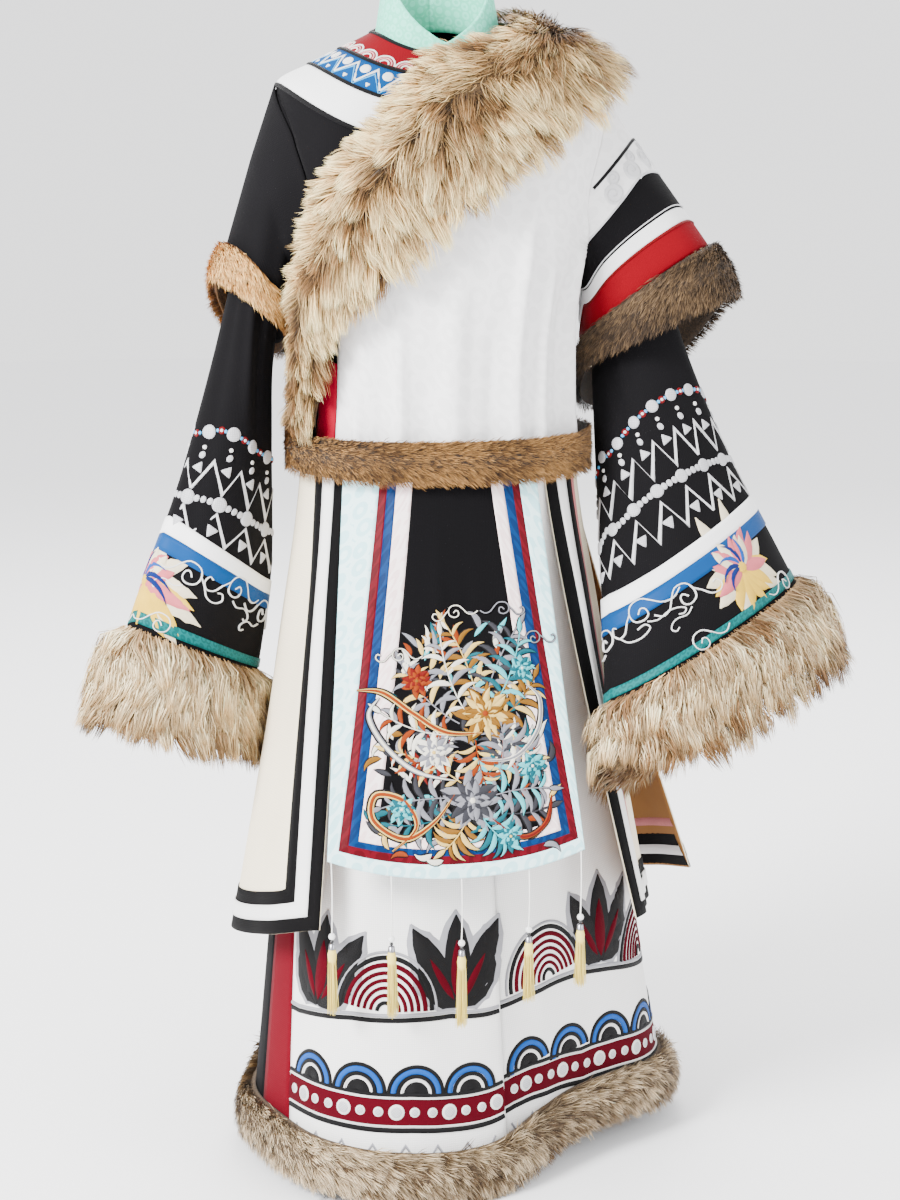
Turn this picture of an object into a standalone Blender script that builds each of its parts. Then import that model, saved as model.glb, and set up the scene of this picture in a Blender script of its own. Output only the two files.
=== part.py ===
"""Layered Tibetan-style winter robe in its worn form, hollow, every cut piece a closed wall of cloth.

Metres, +Z up, -Y is the wearer's front and +X the wearer's left. The origin is the middle of the neck base,
where the garment bears on the shoulders. An outline is a short table with a row for each section, a piece is
a stretch of one of those surfaces, and whatever lies on a piece is made from the same surface, moved out.
"""
import math

import bpy
import numpy as np

# Driving dimensions
CLOTH = 0.0016
TRIM = 0.0010
SEAM = 0.0003
LAY = 0.0004
TORSO_COLUMNS = 14
SLEEVE_COLUMNS = 18
ARMHOLE_STEPS = SLEEVE_COLUMNS // 2
HEM_FUR_DEPTH = 0.034
HEM_FUR_HEIGHT = 0.056
HEM_FUR_OVER = 0.012
CUFF_FUR_LENGTH = 0.118
CUFF_FUR_DEPTH = 0.036
COLLAR_FUR_DEPTH = 0.034
BELT_HEIGHT = 0.050
BELT_DEPTH = 0.014
BELT_LEVEL = 0.0126
THREAD = 0.0016
TASSEL_LOCKS = 10


def table(names, rows):
    """Columns of a section table, by name."""
    return {name: np.array([row[i] for row in rows], float) for i, name in enumerate(names.split())}


def mix(a, b, part):
    return a + (b - a) * part


def smooth(values, at):
    """Smooth curve through values at 0, 1, 2 and so on that never overshoots, straight past both ends."""
    v = np.asarray(values, float)
    at = np.asarray(at, float)
    rise = np.diff(v)
    slope = np.empty(len(v))
    slope[0], slope[-1] = rise[0], rise[-1]
    same = rise[:-1] * rise[1:] > 0
    total = np.where(same, rise[:-1] + rise[1:], 1.0)
    slope[1:-1] = np.where(same, 2 * rise[:-1] * rise[1:] / total, 0.0)
    i = np.clip(np.floor(at), 0, len(v) - 2).astype(int)
    f = at - i
    g = np.clip(f, 0, 1)
    inside = (v[i] * (1 + 2 * g) * (1 - g) ** 2 + v[i + 1] * g * g * (3 - 2 * g)
              + slope[i] * g * (1 - g) ** 2 - slope[i + 1] * g * g * (1 - g))
    return inside + (f - g) * np.where(f > 0, slope[i + 1], slope[i])


def around(values, angle):
    """Smooth closed curve through values spaced evenly round the body from the centre back, -180 degrees."""
    v = np.asarray(values, float)
    count = len(v)
    at = (np.asarray(angle, float) + 180) * count / 360
    i = np.floor(at).astype(int)
    f = at - i
    a, b, c, d = v[(i - 1) % count], v[i % count], v[(i + 1) % count], v[(i + 2) % count]
    return b + 0.5 * f * (c - a + f * (2 * a - 5 * b + 4 * c - d + f * (3 * (b - c) + d - a)))


def points(x, y, z):
    return np.stack(np.broadcast_arrays(x, y, z), -1).astype(float)


def lifted(surface, u, v, level, side=1, du=0.5, dv=0.004):
    """Points of a surface moved out along its normal; side is -1 where u runs clockwise from above."""
    u, v, level = np.broadcast_arrays(u, v, level)
    across = surface(u + du, v) - surface(u - du, v)
    along = surface(u, v + dv) - surface(u, v - dv)
    out = np.cross(along, across) * side
    return surface(u, v) + out / np.linalg.norm(out, axis=-1, keepdims=True) * level[..., None]


def grid(u, v):
    return np.meshgrid(np.asarray(u, float), np.asarray(v, float), indexing="ij")


# Making solids
def finish(name, verts, faces, colour, roughness):
    """A named object with its own material, its faces turned to point out."""
    verts = np.asarray(verts, float)
    volume = 0.0
    for face in faces:
        for k in range(1, len(face) - 1):
            volume += np.dot(verts[face[0]], np.cross(verts[face[k]], verts[face[k + 1]]))
    if volume < 0:
        faces = [face[::-1] for face in faces]
    mesh = bpy.data.meshes.new(name)
    mesh.from_pydata([tuple(p) for p in verts], [], [tuple(int(i) for i in face) for face in faces])
    mesh.update()
    mesh.shade_smooth()
    mesh.set_sharp_from_angle(angle=math.radians(50))
    obj = bpy.data.objects.new(name, mesh)
    obj.data.materials.append(dyed(name, colour, roughness))
    bpy.context.collection.objects.link(obj)
    return obj


def dyed(name, colour, roughness):
    """Principled material from an sRGB hex colour."""
    material = bpy.data.materials.new(name)
    material.use_nodes = True
    shader = material.node_tree.nodes["Principled BSDF"]
    channels = [int(colour[i:i + 2], 16) / 255 for i in (0, 2, 4)]
    linear = [c / 12.92 if c <= 0.04045 else ((c + 0.055) / 1.055) ** 2.4 for c in channels]
    shader.inputs["Base Color"].default_value = (*linear, 1.0)
    shader.inputs["Roughness"].default_value = roughness
    return material


def trimmed(net, closed, first=SEAM / 2, last=SEAM / 2):
    """Draw the open edges of a net of points in by half a seam."""
    net = net.copy()

    def pull(edge, inner, gap):
        step = inner - edge
        return edge + step / np.linalg.norm(step, axis=-1, keepdims=True) * np.asarray(gap)[..., None]

    top, bottom = pull(net[:, 0], net[:, 1], first), pull(net[:, -1], net[:, -2], last)
    net[:, 0], net[:, -1] = top, bottom
    if not closed:
        left, right = pull(net[0], net[1], SEAM / 2), pull(net[-1], net[-2], SEAM / 2)
        net[0], net[-1] = left, right
    return net


def between(name, outer, inner, colour, roughness, closed=False):
    """Closed solid between two nets of points, which join round their open edges."""
    count, rows = outer.shape[:2]
    o = np.arange(count * rows).reshape(count, rows)
    n = o + count * rows
    faces = []
    for i in range(count if closed else count - 1):
        k = (i + 1) % count
        for j in range(rows - 1):
            faces.append((o[i, j], o[i, j + 1], o[k, j + 1], o[k, j]))
            faces.append((n[i, j], n[k, j], n[k, j + 1], n[i, j + 1]))
        faces.append((o[i, 0], o[k, 0], n[k, 0], n[i, 0]))
        faces.append((o[k, -1], o[i, -1], n[i, -1], n[k, -1]))
    if not closed:
        for j in range(rows - 1):
            faces.append((o[0, j + 1], o[0, j], n[0, j], n[0, j + 1]))
            faces.append((o[-1, j], o[-1, j + 1], n[-1, j + 1], n[-1, j]))
    verts = np.concatenate([outer.reshape(-1, 3), inner.reshape(-1, 3)])
    return finish(name, verts, faces, colour, roughness)


def patch(name, outer, inner, kept, colour, roughness=0.8):
    """Closed solid between two nets over those of their meshes that are kept, such as an L-shaped border."""
    count, rows = outer.shape[:2]
    o = np.arange(count * rows).reshape(count, rows)
    faces = []
    edges = {}
    for i in range(count - 1):
        for j in range(rows - 1):
            if kept[i, j]:
                ring = (o[i, j], o[i, j + 1], o[i + 1, j + 1], o[i + 1, j])
                faces.append(ring)
                faces.append(tuple(k + count * rows for k in ring[::-1]))
                for a, b in zip(ring, ring[1:] + ring[:1]):
                    edges[(a, b)] = True
    for a, b in edges:
        if (b, a) not in edges:
            faces.append((b, a, a + count * rows, b + count * rows))
    verts = np.concatenate([outer.reshape(-1, 3), inner.reshape(-1, 3)])
    used = sorted({k for face in faces for k in face})
    number = {k: i for i, k in enumerate(used)}
    faces = [tuple(number[k] for k in face) for face in faces]
    return finish(name, verts[used], faces, colour, roughness)


def wall(name, surface, u, v, level, thick, colour, roughness=0.8, side=1, closed=False,
         ends=(SEAM / 2, SEAM / 2)):
    """Cloth whose inner face lies at a level above a surface, over a net of u and v."""
    outer = trimmed(lifted(surface, u, v, np.add(level, thick), side), closed, *ends)
    inner = trimmed(lifted(surface, u, v, level, side), closed, *ends)
    return between(name, outer, inner, colour, roughness, closed)


def turns(count):
    return np.linspace(-180, 180, count, endpoint=False)


# Torso. A section is a ring at the same distance down from the neckline all round; edge is the half angle
# that a front or back panel takes of it, less than 90 degrees where the armhole is cut out.
TORSO = table("side_x side_z front_y front_z back_y back_z edge", (
    (0.073, -0.010, 0.070, -0.034, 0.064, 0.004, 90),
    (0.112, -0.029, 0.098, -0.060, 0.082, -0.024, 90),
    (0.147, -0.046, 0.118, -0.092, 0.096, -0.058, 90),
    (0.184, -0.068, 0.130, -0.134, 0.106, -0.100, 90),
    (0.187, -0.110, 0.136, -0.180, 0.112, -0.150, 64),
    (0.180, -0.160, 0.140, -0.225, 0.115, -0.205, 58),
    (0.170, -0.215, 0.142, -0.275, 0.114, -0.262, 64),
    (0.160, -0.262, 0.142, -0.322, 0.112, -0.315, 90),
    (0.152, -0.335, 0.141, -0.378, 0.109, -0.375, 90),
    (0.153, -0.410, 0.140, -0.432, 0.109, -0.430, 90),
    (0.158, -0.484, 0.140, -0.484, 0.112, -0.484, 90)))
NECK, RED_EDGE, BLUE_EDGE, SHOULDER, UNDERARM, WAIST = 0, 1, 2, 3, 7, 10
TORSO_CENTRE = 0.004
ROUNDNESS = 2.4
ARMHOLE_ROWS = np.linspace(SHOULDER, UNDERARM, ARMHOLE_STEPS + 1)
TORSO_ROWS = np.concatenate([[NECK, RED_EDGE, BLUE_EDGE], ARMHOLE_ROWS, [8, 9, WAIST]])


def torso(angle, row):
    """Angle 0 is the centre front and 90 the wearer's left."""
    sine, cosine = np.sin(np.radians(angle)), np.cos(np.radians(angle))
    power = 2 / ROUNDNESS
    front = cosine > 0
    depth = np.where(front, smooth(TORSO["front_y"], row), smooth(TORSO["back_y"], row))
    end_z = np.where(front, smooth(TORSO["front_z"], row), smooth(TORSO["back_z"], row))
    side_z = smooth(TORSO["side_z"], row)
    x = TORSO_CENTRE + smooth(TORSO["side_x"], row) * np.sign(sine) * np.abs(sine) ** power
    y = -depth * np.sign(cosine) * np.abs(cosine) ** power
    return points(x, y, side_z + (end_z - side_z) * cosine ** 2)


def underrobe():
    """Black under-robe, whole front and back; its inner face lies one cloth inside the torso surface."""
    share, row = grid(np.linspace(-1, 1, TORSO_COLUMNS + 1), TORSO_ROWS)
    edge = smooth(TORSO["edge"], row)
    wall("underrobe_front", torso, share * edge, row, -CLOTH, CLOTH, "17161a")
    wall("underrobe_back", torso, 180 + share * edge, row, -CLOTH, CLOTH, "17161a")


def yoke():
    """Round yoke on the under-robe: a red band at the neck, a blue one and a white one, butted."""
    bands = (("yoke_red", NECK, RED_EDGE, "c8203c"), ("yoke_blue", RED_EDGE, BLUE_EDGE, "1e82c8"),
             ("yoke_white", BLUE_EDGE, SHOULDER, "f4f3f1"))
    for name, top, bottom, colour in bands:
        angle, row = grid(turns(2 * TORSO_COLUMNS), (top, bottom))
        wall(name, torso, angle, row, LAY, TRIM, colour, closed=True)


# Standing collar: height of its upper edge round the neck, from the centre front to the centre back
COLLAR_EDGE_Z = (-0.022, 0.006, 0.036, 0.050, 0.054, 0.056, 0.056)
COLLAR_INSET = 0.0004
COLLAR_TAPER = 0.16
COLLAR_TUCK = 0.012


def neckband(angle, rise):
    """Rise 0 is tucked in below the neckline and 1 the upper edge."""
    base = torso(angle, NECK)
    top_z = smooth(COLLAR_EDGE_Z, np.abs(angle) / 30)
    height = np.clip(np.asarray(rise, float), -1, 2)
    shrink = (1 - COLLAR_TAPER * height * np.clip((top_z - base[..., 2]) / 0.06, 0, 1))
    x = TORSO_CENTRE + (base[..., 0] - TORSO_CENTRE) * shrink
    return points(x, base[..., 1] * shrink, mix(base[..., 2] - COLLAR_TUCK, top_z, height))


def inner_collar():
    """Two halves seamed at the centre back; the wearer's left laps over the right at the front."""
    column = 180 / TORSO_COLUMNS
    rises = (0.0, 0.35, 0.7, 1.0)
    for name, side in (("inner_collar_left", 1), ("inner_collar_right", -1)):
        angle, rise = grid(side * np.arange(-column, 180 + column / 2, column), rises)
        under = CLOTH + LAY if side < 0 else 0.0
        level = -COLLAR_INSET - CLOTH - under * np.clip((45 - np.abs(angle)) / 22.5, 0, 1)
        wall(name, neckband, angle, rise, level, CLOTH, "8fd3c1", 0.6, side=-1)


# Over-robe: worn off the right shoulder, so its front edge runs from the left shoulder to the right waist
FRONT_EDGE = table("angle row", (
    (90, 1.4), (62, 1.45), (36, 1.6), (14, 2.1), (0, 3.0), (-13, 4.0), (-27, 5.1), (-39, 6.1), (-47, 7.0),
    (-52, 8.2), (-52, 10)))
OVER_COLUMNS = 10
OVER_UNDERARM = 7.4
OVER_ROWS = np.concatenate([np.linspace(SHOULDER, OVER_UNDERARM, ARMHOLE_STEPS + 1), [8.2, 9, WAIST]])
EDGE_STRIP = (-67, -52.6, 8.4)


def over_level(row):
    """The coat stands clear over the shoulder and is drawn in at the waist."""
    part = np.clip((np.asarray(row, float) - SHOULDER) / (UNDERARM - SHOULDER), 0, 1)
    return mix(0.0080, 0.0040, part)


def over_edge(row):
    """The coat's armhole is cut deeper than the one under it."""
    part = (np.asarray(row, float) - SHOULDER) / (OVER_UNDERARM - SHOULDER)
    return smooth(TORSO["edge"], np.where(part < 1, SHOULDER + part * (UNDERARM - SHOULDER), row))


def over_robe():
    """White front and back, and the red strip that faces the front edge above the belt."""
    share, row = grid(np.linspace(0, 1, OVER_COLUMNS + 1), OVER_ROWS)
    down = (row - SHOULDER) / (WAIST - SHOULDER) * (len(FRONT_EDGE["row"]) - 1)
    angle = mix(smooth(FRONT_EDGE["angle"], down), over_edge(row), share)
    place = mix(smooth(FRONT_EDGE["row"], down), row, share)
    wall("overrobe_front", torso, angle, place, over_level(place), CLOTH, "eeebe8")
    wall("overrobe_back", torso, 180 - angle, place, over_level(place), CLOTH, "eeebe8")
    start, end, top = EDGE_STRIP
    angle, place = grid(np.linspace(start, end, 3), np.linspace(top, WAIST, 4))
    wall("front_edge_strip", torso, angle, place, over_level(place), CLOTH, "c3102c")


# Sleeves. Each section gives the outer and the inner end of a flattened ring, how far it stands to the front
# and to the back of the line between them, and how much its front rides up and its back hangs down.
SLEEVE_NAMES = "outer_x outer_y outer_z inner_x inner_y inner_z front back rise"
LEFT_SLEEVE = table(SLEEVE_NAMES, (
    (0.222, 0.000, -0.128, 0.184, -0.008, -0.300, 0.056, 0.054, 0.000),
    (0.256, 0.000, -0.240, 0.188, -0.022, -0.385, 0.054, 0.050, 0.004),
    (0.298, -0.005, -0.385, 0.190, -0.060, -0.490, 0.058, 0.048, 0.008),
    (0.350, -0.010, -0.520, 0.187, -0.114, -0.610, 0.066, 0.046, 0.012),
    (0.397, -0.015, -0.608, 0.180, -0.166, -0.705, 0.073, 0.045, 0.016),
    (0.427, -0.019, -0.666, 0.174, -0.200, -0.764, 0.079, 0.045, 0.018)))
RIGHT_SLEEVE = table(SLEEVE_NAMES, (
    (-0.202, 0.004, -0.135, -0.178, 0.004, -0.300, 0.052, 0.054, 0.000),
    (-0.227, 0.004, -0.250, -0.188, 0.022, -0.385, 0.048, 0.050, 0.004),
    (-0.260, -0.010, -0.385, -0.195, 0.040, -0.490, 0.054, 0.050, 0.008),
    (-0.300, -0.028, -0.522, -0.200, 0.066, -0.618, 0.064, 0.052, 0.012),
    (-0.336, -0.040, -0.616, -0.214, 0.088, -0.706, 0.073, 0.054, 0.016),
    (-0.363, -0.050, -0.690, -0.228, 0.104, -0.772, 0.079, 0.056, 0.018)))
LEFT_OVER = table(SLEEVE_NAMES, (
    (0.240, 0.002, -0.145, 0.172, -0.022, -0.305, 0.078, 0.070, 0.010),
    (0.322, 0.012, -0.274, 0.176, -0.040, -0.356, 0.082, 0.076, 0.034)))
RIGHT_OVER = table(SLEEVE_NAMES, (
    (-0.211, 0.008, -0.150, -0.166, 0.008, -0.305, 0.067, 0.066, 0.006),
    (-0.246, 0.008, -0.266, -0.174, 0.026, -0.358, 0.069, 0.066, 0.022)))
BACK_DROOP = 1.9
RIGHT_OVER_LEVEL = 0.0035


def armhole(turn, side, over):
    """Turn 0 is the shoulder tip, 90 the front, 180 the underarm and 270 the back."""
    turn = np.asarray(turn, float) % 360
    front = turn <= 180
    last = OVER_UNDERARM if over else UNDERARM
    row = mix(SHOULDER, last, np.where(front, turn, 360 - turn) / 180)
    edge = over_edge(row) if over else smooth(TORSO["edge"], row)
    lift = over_level(row) + CLOTH if over else 0.0
    if over and side < 0:
        lift = np.full_like(row, RIGHT_OVER_LEVEL)
    return lifted(torso, np.where(front, edge, 180 - edge) * side, row, lift)


def sleeve(turn, run, rows, side, over=False):
    """Run 0 is the armhole and 1 the hem."""
    turn, run = np.broadcast_arrays(np.asarray(turn, float), np.asarray(run, float))
    at = run * len(rows["front"]) - 1
    get = {name: smooth(values, np.maximum(at, 0)) for name, values in rows.items()}
    outer = points(get["outer_x"], get["outer_y"], get["outer_z"])
    inner = points(get["inner_x"], get["inner_y"], get["inner_z"])
    half = (outer - inner) / 2
    unit = half / np.linalg.norm(half, axis=-1, keepdims=True)
    ahead = np.array((0.0, -1.0, 0.0))
    out = ahead - unit * (unit @ ahead)[..., None]
    out = out / np.linalg.norm(out, axis=-1, keepdims=True)
    cosine, sine = np.cos(np.radians(turn)), np.sin(np.radians(turn))
    depth = np.where(sine > 0, get["front"], get["back"])
    ring = (outer + inner) / 2 + half * cosine[..., None] + out * (depth * sine)[..., None]
    ring[..., 2] += get["rise"] * sine * np.where(sine > 0, 1.0, BACK_DROOP)
    part = np.clip(at + 1, 0, 1)[..., None]
    return mix(armhole(turn, side, over), ring, part)


def left_sleeve(turn, run):
    return sleeve(turn, run, LEFT_SLEEVE, 1)


def right_sleeve(turn, run):
    return sleeve(turn, run, RIGHT_SLEEVE, -1)


def left_over(turn, run):
    return sleeve(turn, run, LEFT_OVER, 1, True)


def right_over(turn, run):
    return sleeve(turn, run, RIGHT_OVER, -1, True)


# Ribbons sewn round each long sleeve: from and to, as shares of its length
RIBBONS = (("ribbon_white", 0.715, 0.765, "f2f1ef"), ("ribbon_blue", 0.765, 0.795, "1478be"),
           ("ribbon_teal", 0.942, 0.972, "0f9a98"))
SLEEVE_RUNS = (0.0, 0.12, 0.26, 0.42, 0.58, 0.715, 0.765, 0.795, 0.87, 0.942, 0.972, 1.0)
SHOULDER_GAP = 0.0013


def head_gap(turn):
    """The sleeve head stands a little off the shoulder tip, where its wall turns over the seam."""
    return SEAM / 2 + SHOULDER_GAP * np.cos(np.radians(turn) / 2) ** 4


def sleeves():
    turn_line = np.linspace(0, 360, SLEEVE_COLUMNS, endpoint=False)
    for word, surface, side in (("left", left_sleeve, -1), ("right", right_sleeve, 1)):
        turn, run = grid(turn_line, SLEEVE_RUNS)
        wall(word + "_sleeve", surface, turn, run, -CLOTH, CLOTH, "141317", side=side, closed=True,
             ends=(head_gap(turn_line), SEAM / 2))
        for name, start, end, colour in RIBBONS:
            turn, run = grid(turn_line, (start, end))
            wall(word + "_" + name, surface, turn, run, LAY, TRIM, colour, side=side, closed=True)


# Short over-sleeves: the left one in bands, given by how far above its hem each one starts
LEFT_BANDS = (("left_oversleeve_top", 1.0, "eeebe8"), ("left_oversleeve_black", 0.085, "141317"),
              ("left_oversleeve_white", 0.045, "f2f1ef"), ("left_oversleeve_red", 0.029, "cf1226"))
LEAST_BAND = 0.035
BAND_GAP = 0.0004
OVER_GAP = 0.0026


def band_start(turn, surface, height, number):
    """Run at which a band starts, so that it stays level with the hem and narrows only under the arm."""
    length = np.linalg.norm(surface(turn, 1.0) - surface(turn, 0.0), axis=-1)
    return np.maximum(1 - height / length, number * LEAST_BAND)


def over_sleeves():
    turn_line = np.linspace(0, 360, SLEEVE_COLUMNS, endpoint=False)
    starts = [band_start(turn_line, left_over, height, i) for i, (_, height, _) in enumerate(LEFT_BANDS)]
    starts.append(np.ones_like(turn_line))
    for i, (name, _, colour) in enumerate(LEFT_BANDS):
        steps = 4 if i == 0 else 2
        share = np.linspace(0, 1, steps)
        run = mix(starts[i][:, None], starts[i + 1][:, None], share)
        turn = np.broadcast_to(turn_line[:, None], run.shape)
        first = OVER_GAP if i == 0 else BAND_GAP
        wall(name, left_over, turn, run, -CLOTH, CLOTH, colour, side=-1, closed=True, ends=(first, BAND_GAP))
    turn, run = grid(turn_line, np.linspace(0, 1, 4))
    wall("right_oversleeve", right_over, turn, run, -CLOTH, CLOTH, "17161a", closed=True,
         ends=(OVER_GAP, SEAM / 2))


# Skirts: radius of each hem round its own centre, every 20 degrees from the centre back, and its rise
SKIRT_CENTRE = (0.03, 0.0)
SKIRT_HEM_Z = -1.302
SKIRT_HEM = table("radius rise", (
    (0.215, 0.000), (0.238, 0.000), (0.214, 0.000), (0.246, 0.000), (0.242, 0.000), (0.262, 0.000),
    (0.270, 0.000), (0.286, -0.002), (0.270, -0.008), (0.230, -0.012), (0.190, 0.004), (0.184, 0.016),
    (0.207, 0.018), (0.248, 0.012), (0.258, 0.006), (0.226, 0.000), (0.250, 0.000), (0.220, 0.000)))
ROBE_CENTRE = (0.035, 0.0)
ROBE_HEM_Z = -1.060
ROBE_HEM = table("radius left_radius rise", (
    (0.262, 0.240, 0.000), (0.280, 0.240, 0.000), (0.246, 0.240, 0.000), (0.262, 0.240, 0.000),
    (0.262, 0.240, 0.000), (0.282, 0.240, 0.004), (0.292, 0.240, 0.028), (0.288, 0.240, 0.055),
    (0.280, 0.240, 0.055), (0.260, 0.245, 0.050), (0.250, 0.256, 0.044), (0.250, 0.256, 0.040),
    (0.262, 0.226, 0.030), (0.290, 0.216, 0.022), (0.312, 0.226, 0.014), (0.306, 0.240, -0.012),
    (0.296, 0.240, -0.022), (0.262, 0.240, -0.008)))
FLARE = 1.15


def hanging(angle, run, centre, hem_z, radius, rise):
    """Run 0 is the waist and 1 the hem; the cloth flares out only below the belt."""
    top = torso(angle, WAIST)
    reach = around(radius, angle)
    turn = np.radians(angle)
    hem = points(centre[0] + reach * np.sin(turn), centre[1] - reach * np.cos(turn),
                 hem_z + around(rise, angle))
    run = np.asarray(run, float)[..., None]
    belt = BELT_HEIGHT / 2 / (top[..., 2:] - hem[..., 2:])
    place = mix(top, hem, np.maximum((run - belt) / (1 - belt), 0) ** FLARE)
    place[..., 2] = mix(top, hem, run)[..., 2]
    return place


def skirt(angle, run):
    return hanging(angle, run, SKIRT_CENTRE, SKIRT_HEM_Z, SKIRT_HEM["radius"], SKIRT_HEM["rise"])


def robe_skirt(angle, run):
    return hanging(angle, run, ROBE_CENTRE, ROBE_HEM_Z, ROBE_HEM["radius"], ROBE_HEM["rise"])


def robe_skirt_left(angle, run):
    return hanging(angle, run, ROBE_CENTRE, ROBE_HEM_Z, ROBE_HEM["left_radius"], ROBE_HEM["rise"])


# Angles at the waist and at the hem of the lines that part the skirt into its panels
SEAM_ANGLE = 6.0
SKIRT_LAP = 0.008
SKIRT_RUNS = np.append(np.linspace(0, 0.93, 7), 1.0)


def panel(surface, first, last, runs, columns):
    """Net between two lines, each an angle at the waist and one at the hem."""
    share, run = grid(np.linspace(0, 1, columns + 1), runs)
    return mix(mix(first[0], first[1], run), mix(last[0], last[1], run), share), run


def lapped_skirt(angle, run):
    """The left front runs in under the right one near the centre seam."""
    lap = SKIRT_LAP * np.clip(1 - (np.asarray(angle, float) - SEAM_ANGLE) / 24, 0, 1) ** 2
    place = skirt(angle, run)
    turn = np.radians(angle)
    inward = points(-np.sin(turn), np.cos(turn), 0.0)
    return place + inward * (lap * np.clip(np.asarray(run, float) * 3, 0, 1))[..., None]


SKIRT_PANELS = (
    ("skirt_front_right", skirt, (-74, -56), (SEAM_ANGLE, SEAM_ANGLE), 10, "efecea"),
    ("skirt_front_left", lapped_skirt, (SEAM_ANGLE, SEAM_ANGLE), (88, 104), 10, "e6e2df"),
    ("skirt_band_left", skirt, (88, 104), (97, 118), 2, "b00d28"),
    ("skirt_back", skirt, (97, 118), (276, 288), 14, "17161a"),
    ("skirt_band_right", skirt, (276, 288), (286, 304), 2, "c8102e"))


def skirts():
    """White fronts, a red band down each side and a black back, given by the lines between them."""
    for name, surface, first, last, columns, colour in SKIRT_PANELS:
        angle, run = panel(surface, first, last, SKIRT_RUNS, columns)
        wall(name, surface, angle, run, 0.0, CLOTH, colour)


# Robe skirt: open down the front between its two edges, with a vent at the left side
ROBE_RIGHT_EDGE = (-45.0, -43.0)
ROBE_LEFT_EDGE = (37.0, 42.0)
ROBE_VENT = (92.0, 95.0)
ROBE_BACK_EDGE = (96.0, 104.0)
ROBE_SIDE = -100.0
ROBE_LEVEL = 0.0026
BORDER_LINES = (0.0, 0.016, 0.034, 0.050)
ROBE_STEPS = 5


def robe_net(surface, first, far, columns, bordered):
    """Net of a robe panel; near its hem and its front edge its lines keep the border's widths from them."""
    depths = BORDER_LINES if bordered else (0.0,)
    angle, run = [], []
    for i in range(len(depths) + columns):
        depth = depths[min(i, len(depths) - 1)]
        part = max(i - len(depths) + 1, 0) / columns
        low = 1 - np.array(BORDER_LINES[::-1]) / hang_length(surface, mix(first[1], far[1], part))
        line = np.concatenate([np.linspace(0, low[0], ROBE_STEPS), low[1:]])
        start = inset_angle(surface, first, far, line, depth)
        angle.append(mix(start, mix(far[0], far[1], line), part))
        run.append(line)
    return np.array(angle), np.array(run)


def robe_skirts():
    """Three panels, each with a black braid along its edge and hem and a white ribbon sewn on the braid."""
    pieces = (("right", robe_skirt, ROBE_RIGHT_EDGE, (ROBE_SIDE, ROBE_SIDE), 5, "f3e6da"),
              ("left", robe_skirt_left, ROBE_LEFT_EDGE, ROBE_VENT, 5, "f3e6da"),
              ("back", robe_skirt, ROBE_BACK_EDGE, (260.0, 260.0), 14, "ead9c6"))
    for word, surface, edge, far, columns, colour in pieces:
        bordered = word != "back"
        angle, run = robe_net(surface, edge, far, columns, bordered)
        wall("robe_skirt_" + word, surface, angle, run, ROBE_LEVEL, CLOTH, colour)
        i, j = np.indices((angle.shape[0] - 1, angle.shape[1] - 1))
        side = 3 if bordered else 0
        low = ROBE_STEPS - 1
        braid = (i < side) | (j >= low)
        ribbon = ((i == 1) & (j <= low + 1) & bordered) | ((j == low + 1) & (i >= bordered))
        level = ROBE_LEVEL + CLOTH + LAY
        for name, kept, dye in (("robe_border_" + word, braid, "1a191c"),
                                ("robe_ribbon_" + word, ribbon, "f3f1ee")):
            outer = trimmed(lifted(surface, angle, run, level + TRIM), False)
            inner = trimmed(lifted(surface, angle, run, level), False)
            patch(name, outer, inner, kept, dye)
            level += TRIM + LAY


def hang_length(surface, angle):
    return np.linalg.norm(surface(angle, 1.0) - surface(angle, 0.0), axis=-1)


def inset_angle(surface, edge, far, run, depth):
    """Angle that lies a given depth in from an edge, along the surface."""
    start = mix(edge[0], edge[1], run)
    toward = np.sign(far[0] - edge[0])
    step = np.linalg.norm(surface(start + toward, run) - surface(start, run), axis=-1)
    return start + toward * depth / step


# Apron: width and hang at its top, middle and hem; across runs from -100 to 100 and down from 0 to 1
APRON = table("left_x left_y centre_y right_y right_x edge_z centre_z", (
    (-0.121, -0.1085, -0.1465, -0.1310, 0.098, -0.486, -0.486),
    (-0.157, -0.2330, -0.2480, -0.2330, 0.137, -0.920, -0.942)))
APRON_FREE = 0.06
APRON_LINES = table("left_top left_hem right_top right_hem hem", (
    (-30, -63, 48, 71, 0.903), (-46, -77, 61, 83, 0.930), (-55, -84.5, 71, 90, 0.946),
    (-63, -92, 79, 96, 0.966), (-100, -100, 100, 100, 1.0)))
APRON_BANDS = (("apron_pink", "f3dcdc"), ("apron_blue", "1266b0"), ("apron_red", "c01634"),
               ("apron_border", "cfe6ee"))
APRON_STEPS = 6


def apron(across, down):
    """It hangs straight behind the belt, then leans out over the skirt."""
    across, down = np.asarray(across, float) / 100, np.asarray(down, float)
    lean = np.maximum((down - APRON_FREE) / (1 - APRON_FREE), 0)
    get = {name: mix(ends[0], ends[1], lean) for name, ends in APRON.items()}
    bend = np.abs(across) ** 2.2
    x = mix(get["left_x"], get["right_x"], (across + 1) / 2)
    y = mix(get["centre_y"], np.where(across < 0, get["left_y"], get["right_y"]), bend)
    edge_z, centre_z = (mix(APRON[name][0], APRON[name][1], down) for name in ("edge_z", "centre_z"))
    return points(x, y, mix(centre_z, edge_z, bend))


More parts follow.
